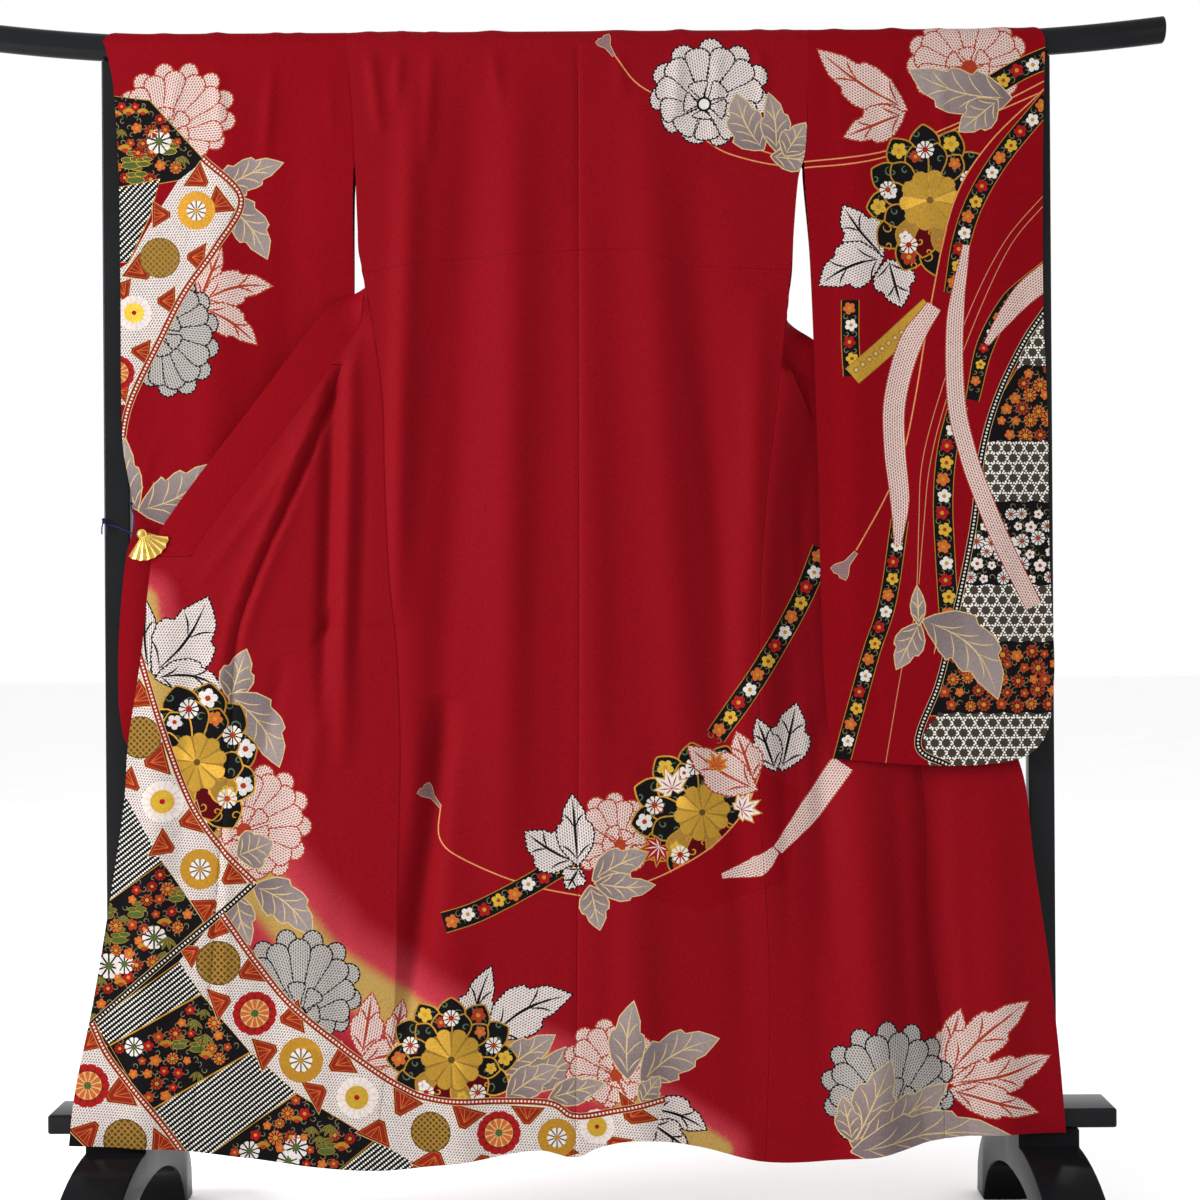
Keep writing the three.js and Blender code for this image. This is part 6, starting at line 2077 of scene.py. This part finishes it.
def foot_heights(y):
    """Underside and top of the arched foot at a distance y from its middle."""
    inner = FOOT["reach"] - FOOT["pad"]
    under = FOOT["arch"] * math.sqrt(max(0.0, 1 - (y / inner) ** 2)) if y < inner else 0.0
    rise = math.sqrt(max(0.0, 1 - ((y - FOOT["block"]) / (FOOT["reach"] - FOOT["block"])) ** 2))
    return under, mix(FOOT["toe"], FOOT["shoulder"], rise**0.9)


def foot_piece(name, x):
    angles = np.linspace(math.pi / 2, 0, 15)
    half = [(FOOT["block"] + (FOOT["reach"] - FOOT["block"]) * math.sin(a)) for a in angles]
    sections = [(-y, *foot_heights(y)) for y in half]
    under_block = foot_heights(FOOT["block"])[0]
    sections += [(-FOOT["block"], under_block, FOOT["top"]), (0, FOOT["arch"], FOOT["top"])]
    sections += [(-y, under, top) for y, under, top in sections[-2::-1]]
    y, under, top = sections[0]
    deselect()
    bpy.ops.mesh.primitive_plane_add(size=1, location=(x, y, (under + top) / 2), rotation=(math.pi / 2, 0, 0))
    piece = bpy.context.object
    piece.scale = (2 * FOOT["half"], top - under, 1)
    bpy.ops.object.transform_apply(location=True, rotation=True, scale=True)
    start_edit(piece)
    bpy.ops.mesh.select_all(action="SELECT")
    for (y0, under0, top0), (y1, under1, top1) in zip(sections, sections[1:]):
        step = (0, y1 - y0, (under1 + top1 - under0 - top0) / 2)
        bpy.ops.mesh.extrude_region_move(TRANSFORM_OT_translate={"value": step})
        bpy.ops.transform.resize(value=(1, 1, (top1 - under1) / (top0 - under0)),
                                 center_override=median(piece))
    bpy.ops.mesh.select_all(action="SELECT")
    bpy.ops.mesh.remove_doubles(threshold=0.00005)
    round_edges(0.003, 4, 35)
    stop_edit()
    return settle(piece, foot_lacquer, name)


UPRIGHT_X = 0.662
stand.append(foot_piece("foot_left_lacquer", -UPRIGHT_X))
stand.append(foot_piece("foot_right_lacquer", UPRIGHT_X))
for piece in stand:
    print(piece.name, len(piece.data.polygons))

# %% [markdown]
# ## The fan clip
# A small gilt folding fan is a spring clip. Its leaf is pleated, ribs run down every ridge, and a round head
# hides the spring. The rear jaw presses on the cloth from behind.

# %% Fan, ribs, head and jaw
CLIP = {"x": -0.620, "z": 1.033, "cloth": -0.0322, "head": 0.007, "radius": 0.038, "leaf": 0.0011, "pleats": 7}
FAN_START, FAN_END = math.radians(-122), math.radians(-6)
FAN_PLANE = CLIP["cloth"] - CLOTH / 2 - 0.0004


def fan_leaf():
    """A radial edge spun through the fan's angle, with every other spoke pushed back."""
    deselect()
    bpy.ops.mesh.primitive_plane_add(size=1, location=(0, 0, 0))
    piece = bpy.context.object
    start_edit(piece)
    mesh = bmesh.from_edit_mesh(piece.data)
    bmesh.ops.delete(mesh, geom=list(mesh.verts), context="VERTS")
    near, far = 0.006, CLIP["radius"]
    ends = [mesh.verts.new((r * math.cos(FAN_START), 0, r * math.sin(FAN_START))) for r in (near, 0.020, far)]
    for a, b in zip(ends, ends[1:]):
        mesh.edges.new((a, b))
    bmesh.update_edit_mesh(piece.data)
    bpy.ops.mesh.select_all(action="SELECT")
    bpy.ops.mesh.spin(steps=CLIP["pleats"] * 4, angle=FAN_END - FAN_START, center=(0, 0, 0), axis=(0, 1, 0))
    mesh = bmesh.from_edit_mesh(piece.data)
    wave = (FAN_END - FAN_START) / (CLIP["pleats"] * 2)
    for v in mesh.verts:
        radius = math.hypot(v.co.x, v.co.z)
        turn = (math.atan2(v.co.z, v.co.x) - FAN_START) / wave
        ridge = abs((turn % 2) - 1)
        v.co.y = -0.0024 * ridge * radius / far
        shrink = 1 - 0.030 * ridge * (radius > 0.9 * far)
        v.co.x, v.co.z = v.co.x * shrink, v.co.z * shrink
    bmesh.update_edit_mesh(piece.data)
    stop_edit()
    wall = piece.modifiers.new("wall", "SOLIDIFY")
    wall.thickness, wall.offset = CLIP["leaf"], 0
    bpy.ops.object.modifier_apply(modifier="wall")
    piece.location = (CLIP["x"], FAN_PLANE - 0.0008, CLIP["z"])
    return piece


def fan_rib(angle):
    deselect()
    bpy.ops.mesh.primitive_cube_add(size=1)
    piece = bpy.context.object
    piece.scale = (0.0320, 0.0007, 0.0012)
    bpy.ops.object.transform_apply(scale=True)
    start_edit(piece)
    round_edges(0.00022, 2)
    stop_edit()
    reach = 0.0205
    piece.rotation_euler = (0, -angle, 0)
    piece.location = (CLIP["x"] + reach * math.cos(angle), FAN_PLANE - 0.0019, CLIP["z"] + reach * math.sin(angle))
    return piece


def fan_head():
    deselect()
    deep = 0.0056
    bpy.ops.mesh.primitive_cylinder_add(vertices=40, radius=CLIP["head"], depth=deep, rotation=(math.pi / 2, 0, 0),
                                        location=(CLIP["x"] - 0.001, CLIP["cloth"] - 0.0006, CLIP["z"]))
    piece = bpy.context.object
    bpy.ops.object.transform_apply(location=True, rotation=True, scale=True)
    start_edit(piece)
    mesh = bmesh.from_edit_mesh(piece.data)
    bpy.ops.mesh.select_mode(type="FACE")
    bpy.ops.mesh.select_all(action="DESELECT")
    for face in mesh.faces:
        face.select = face.normal.y < -0.9
    bmesh.update_edit_mesh(piece.data)
    bpy.ops.mesh.inset(thickness=0.0016)
    bpy.ops.transform.translate(value=(0, 0.0006, 0))
    bpy.ops.mesh.inset(thickness=0.0020)
    bpy.ops.transform.translate(value=(0, -0.0008, 0))
    round_edges(0.0003, 3)
    stop_edit()
    return piece


def fan_jaw():
    deselect()
    back = CLIP["cloth"] + CLOTH / 2 + 0.0004
    bpy.ops.mesh.primitive_cube_add(size=1, location=(CLIP["x"] + 0.0175, back + 0.0011, CLIP["z"] - 0.0055))
    piece = bpy.context.object
    piece.scale = (0.040, 0.0018, 0.009)
    piece.rotation_euler = (0, math.radians(15), 0)
    bpy.ops.object.transform_apply(location=True, rotation=True, scale=True)
    start_edit(piece)
    round_edges(0.0005, 3)
    stop_edit()
    return piece


def joined(parts, finish, name):
    deselect()
    for part in parts:
        part.select_set(True)
    bpy.context.view_layer.objects.active = parts[0]
    bpy.ops.object.join()
    return settle(parts[0], finish, name)


spokes = [mix(FAN_START, FAN_END, (2 * k + 1) / (2 * CLIP["pleats"])) for k in range(CLIP["pleats"])]
fan = joined([fan_leaf()] + [fan_rib(angle) for angle in spokes] + [fan_head(), fan_jaw()], gold, "clip_fan_gilt")
print("fan clip", len(fan.data.polygons))

# %% [markdown]
# ## The cord
# A twisted silk cord ties the clip to the upright: two strands laid round each other, once round the post,
# and a knot with two short tails. Each strand is a thin tube along a helix.

# %% Cord and knot
UPRIGHT = {"wide": 0.037, "deep": 0.024}
STRAND = 0.00062


def cord_route():
    side = UPRIGHT["wide"] / 2 + 0.0014
    deep = UPRIGHT["deep"] / 2 + 0.0014
    x, clip_x, clip_y, clip_z = -UPRIGHT_X, CLIP["x"] - 0.0094, CLIP["cloth"], CLIP["z"]
    return [
        (clip_x, clip_y - 0.001, clip_z + 0.002), (-0.634, -0.024, 1.058), (x + side - 0.0002, -deep - 0.001, 1.078),
        (x + side + 0.0004, 0, 1.078), (x + side - 0.001, deep, 1.077), (x, deep + 0.0006, 1.066),
        (x - side + 0.001, deep, 1.056), (x - side - 0.0004, 0, 1.053), (x - side + 0.001, -deep - 0.0006, 1.050),
        (x + 0.002, -deep - 0.0062, 1.044), (-0.640, -0.026, 1.036), (clip_x, clip_y + 0.0014, clip_z - 0.003)]


def smooth_route(points, count):
    """The smooth line through the points, spaced evenly, and its length."""
    line = smoothed(points, 16)
    length = np.concatenate([[0], np.cumsum(np.linalg.norm(np.diff(line, axis=0), axis=1))])
    even = np.linspace(0, length[-1], count)
    return np.column_stack([np.interp(even, length, line[:, k]) for k in range(3)]), length[-1]


def strand(name, points, radius, phase, lay_length=0.0048, spread=0.00048):
    line, length = smooth_route(points, int(smooth_route(points, 2)[1] / 0.0007))
    curve_data = bpy.data.curves.new(name, "CURVE")
    curve_data.dimensions = "3D"
    curve_data.bevel_depth = radius
    curve_data.bevel_resolution = 2
    curve_data.use_fill_caps = True
    spline = curve_data.splines.new("POLY")
    spline.points.add(len(line) - 1)
    helper = Vector((0.13, 0.27, 0.95))
    for k, place in enumerate(line):
        ahead = Vector(line[min(k + 1, len(line) - 1)] - line[max(k - 1, 0)]).normalized()
        side = ahead.cross(helper).normalized()
        up = side.cross(ahead)
        angle = phase + 2 * math.pi * (k * length / (len(line) - 1)) / lay_length
        offset = side * (spread * math.cos(angle)) + up * (spread * math.sin(angle))
        spline.points[k].co = (*(Vector(place) + offset), 1)
    made = bpy.data.objects.new(name, curve_data)
    bpy.context.scene.collection.objects.link(made)
    deselect()
    made.select_set(True)
    bpy.context.view_layer.objects.active = made
    bpy.ops.object.convert(target="MESH")
    return bpy.context.object


cord = joined([strand("a", cord_route(), STRAND, 0), strand("b", cord_route(), STRAND, math.pi)], twine,
              "clip_cord_twine")
KNOT = Vector((-UPRIGHT_X - UPRIGHT["wide"] / 2 + 0.0016, -UPRIGHT["deep"] / 2 - 0.0068, 1.054))
tails = []
for dx, dy, dz in ((-0.003, 0, -0.020), (0.004, -0.001, -0.017)):
    route = [KNOT, KNOT + Vector((dx * 0.9, dy, dz * 0.5)), KNOT + Vector((dx, dy, dz))]
    tails += [strand("tail", route, STRAND, phase) for phase in (0, math.pi)]
deselect()
bpy.ops.mesh.primitive_torus_add(location=KNOT, rotation=(0.4, 0.9, 0), major_radius=0.0020, minor_radius=0.0012,
                                 major_segments=28, minor_segments=12)
loop = bpy.context.object
deselect()
bpy.ops.mesh.primitive_torus_add(location=KNOT, rotation=(1.5, -0.6, 0), major_radius=0.0018, minor_radius=0.0011,
                                 major_segments=28, minor_segments=12)
knot = joined([loop, bpy.context.object] + tails, twine, "cord_knot_twine")
print("cord", len(cord.data.polygons), "knot", len(knot.data.polygons))

# %% [markdown]
# ## Putting each piece on the body
# Every piece rides on the one body, and the node it stands for is hidden. The table of cloth pieces also gives how
# large each was cut.

# %% Put the pieces on the body
CLOTH_FACTS = [
    (back_left, "back_left", (0.33, 1.62), 0.46, [rod]),
    (back_right, "back_right", (0.33, 1.62), 0.46, [rod]),
    (front_left, "front_left", (0.27, 1.62), 0.31, [rod, collar]),
    (front_right, "front_right", (0.27, 1.62), 0.28, [rod, collar]),
    (okumi_left, "okumi_left", (0.16, 1.14), 0.15, [front_left, collar]),
    (okumi_right, "okumi_right", (0.16, 1.02), 0.125, [front_right, collar]),
    (collar, "collar", (0.055, 1.92), None, [rod, fan]),
    (sleeve_left, "sleeve_left", (0.34, 2.12), 0.71, [rod]),
    (sleeve_right, "sleeve_right", (0.34, 2.12), 0.71, [rod]),
]
for piece, node, flat_size, flat_area, support in CLOTH_FACTS:
    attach(piece, "root")
    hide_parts(node)
STAND_NODES = ["rod", "upright_left", "upright_right", "base_rail", "foot_left", "foot_right"]
for piece, node in zip(stand, STAND_NODES):
    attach(piece, "root")
    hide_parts(node)
for piece, node, slot in ((fan, "clip_fan", "gold"), (cord, "clip_cord", "cord"), (knot, "cord_knot", "cord")):
    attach(piece, "root")
    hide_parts(node)
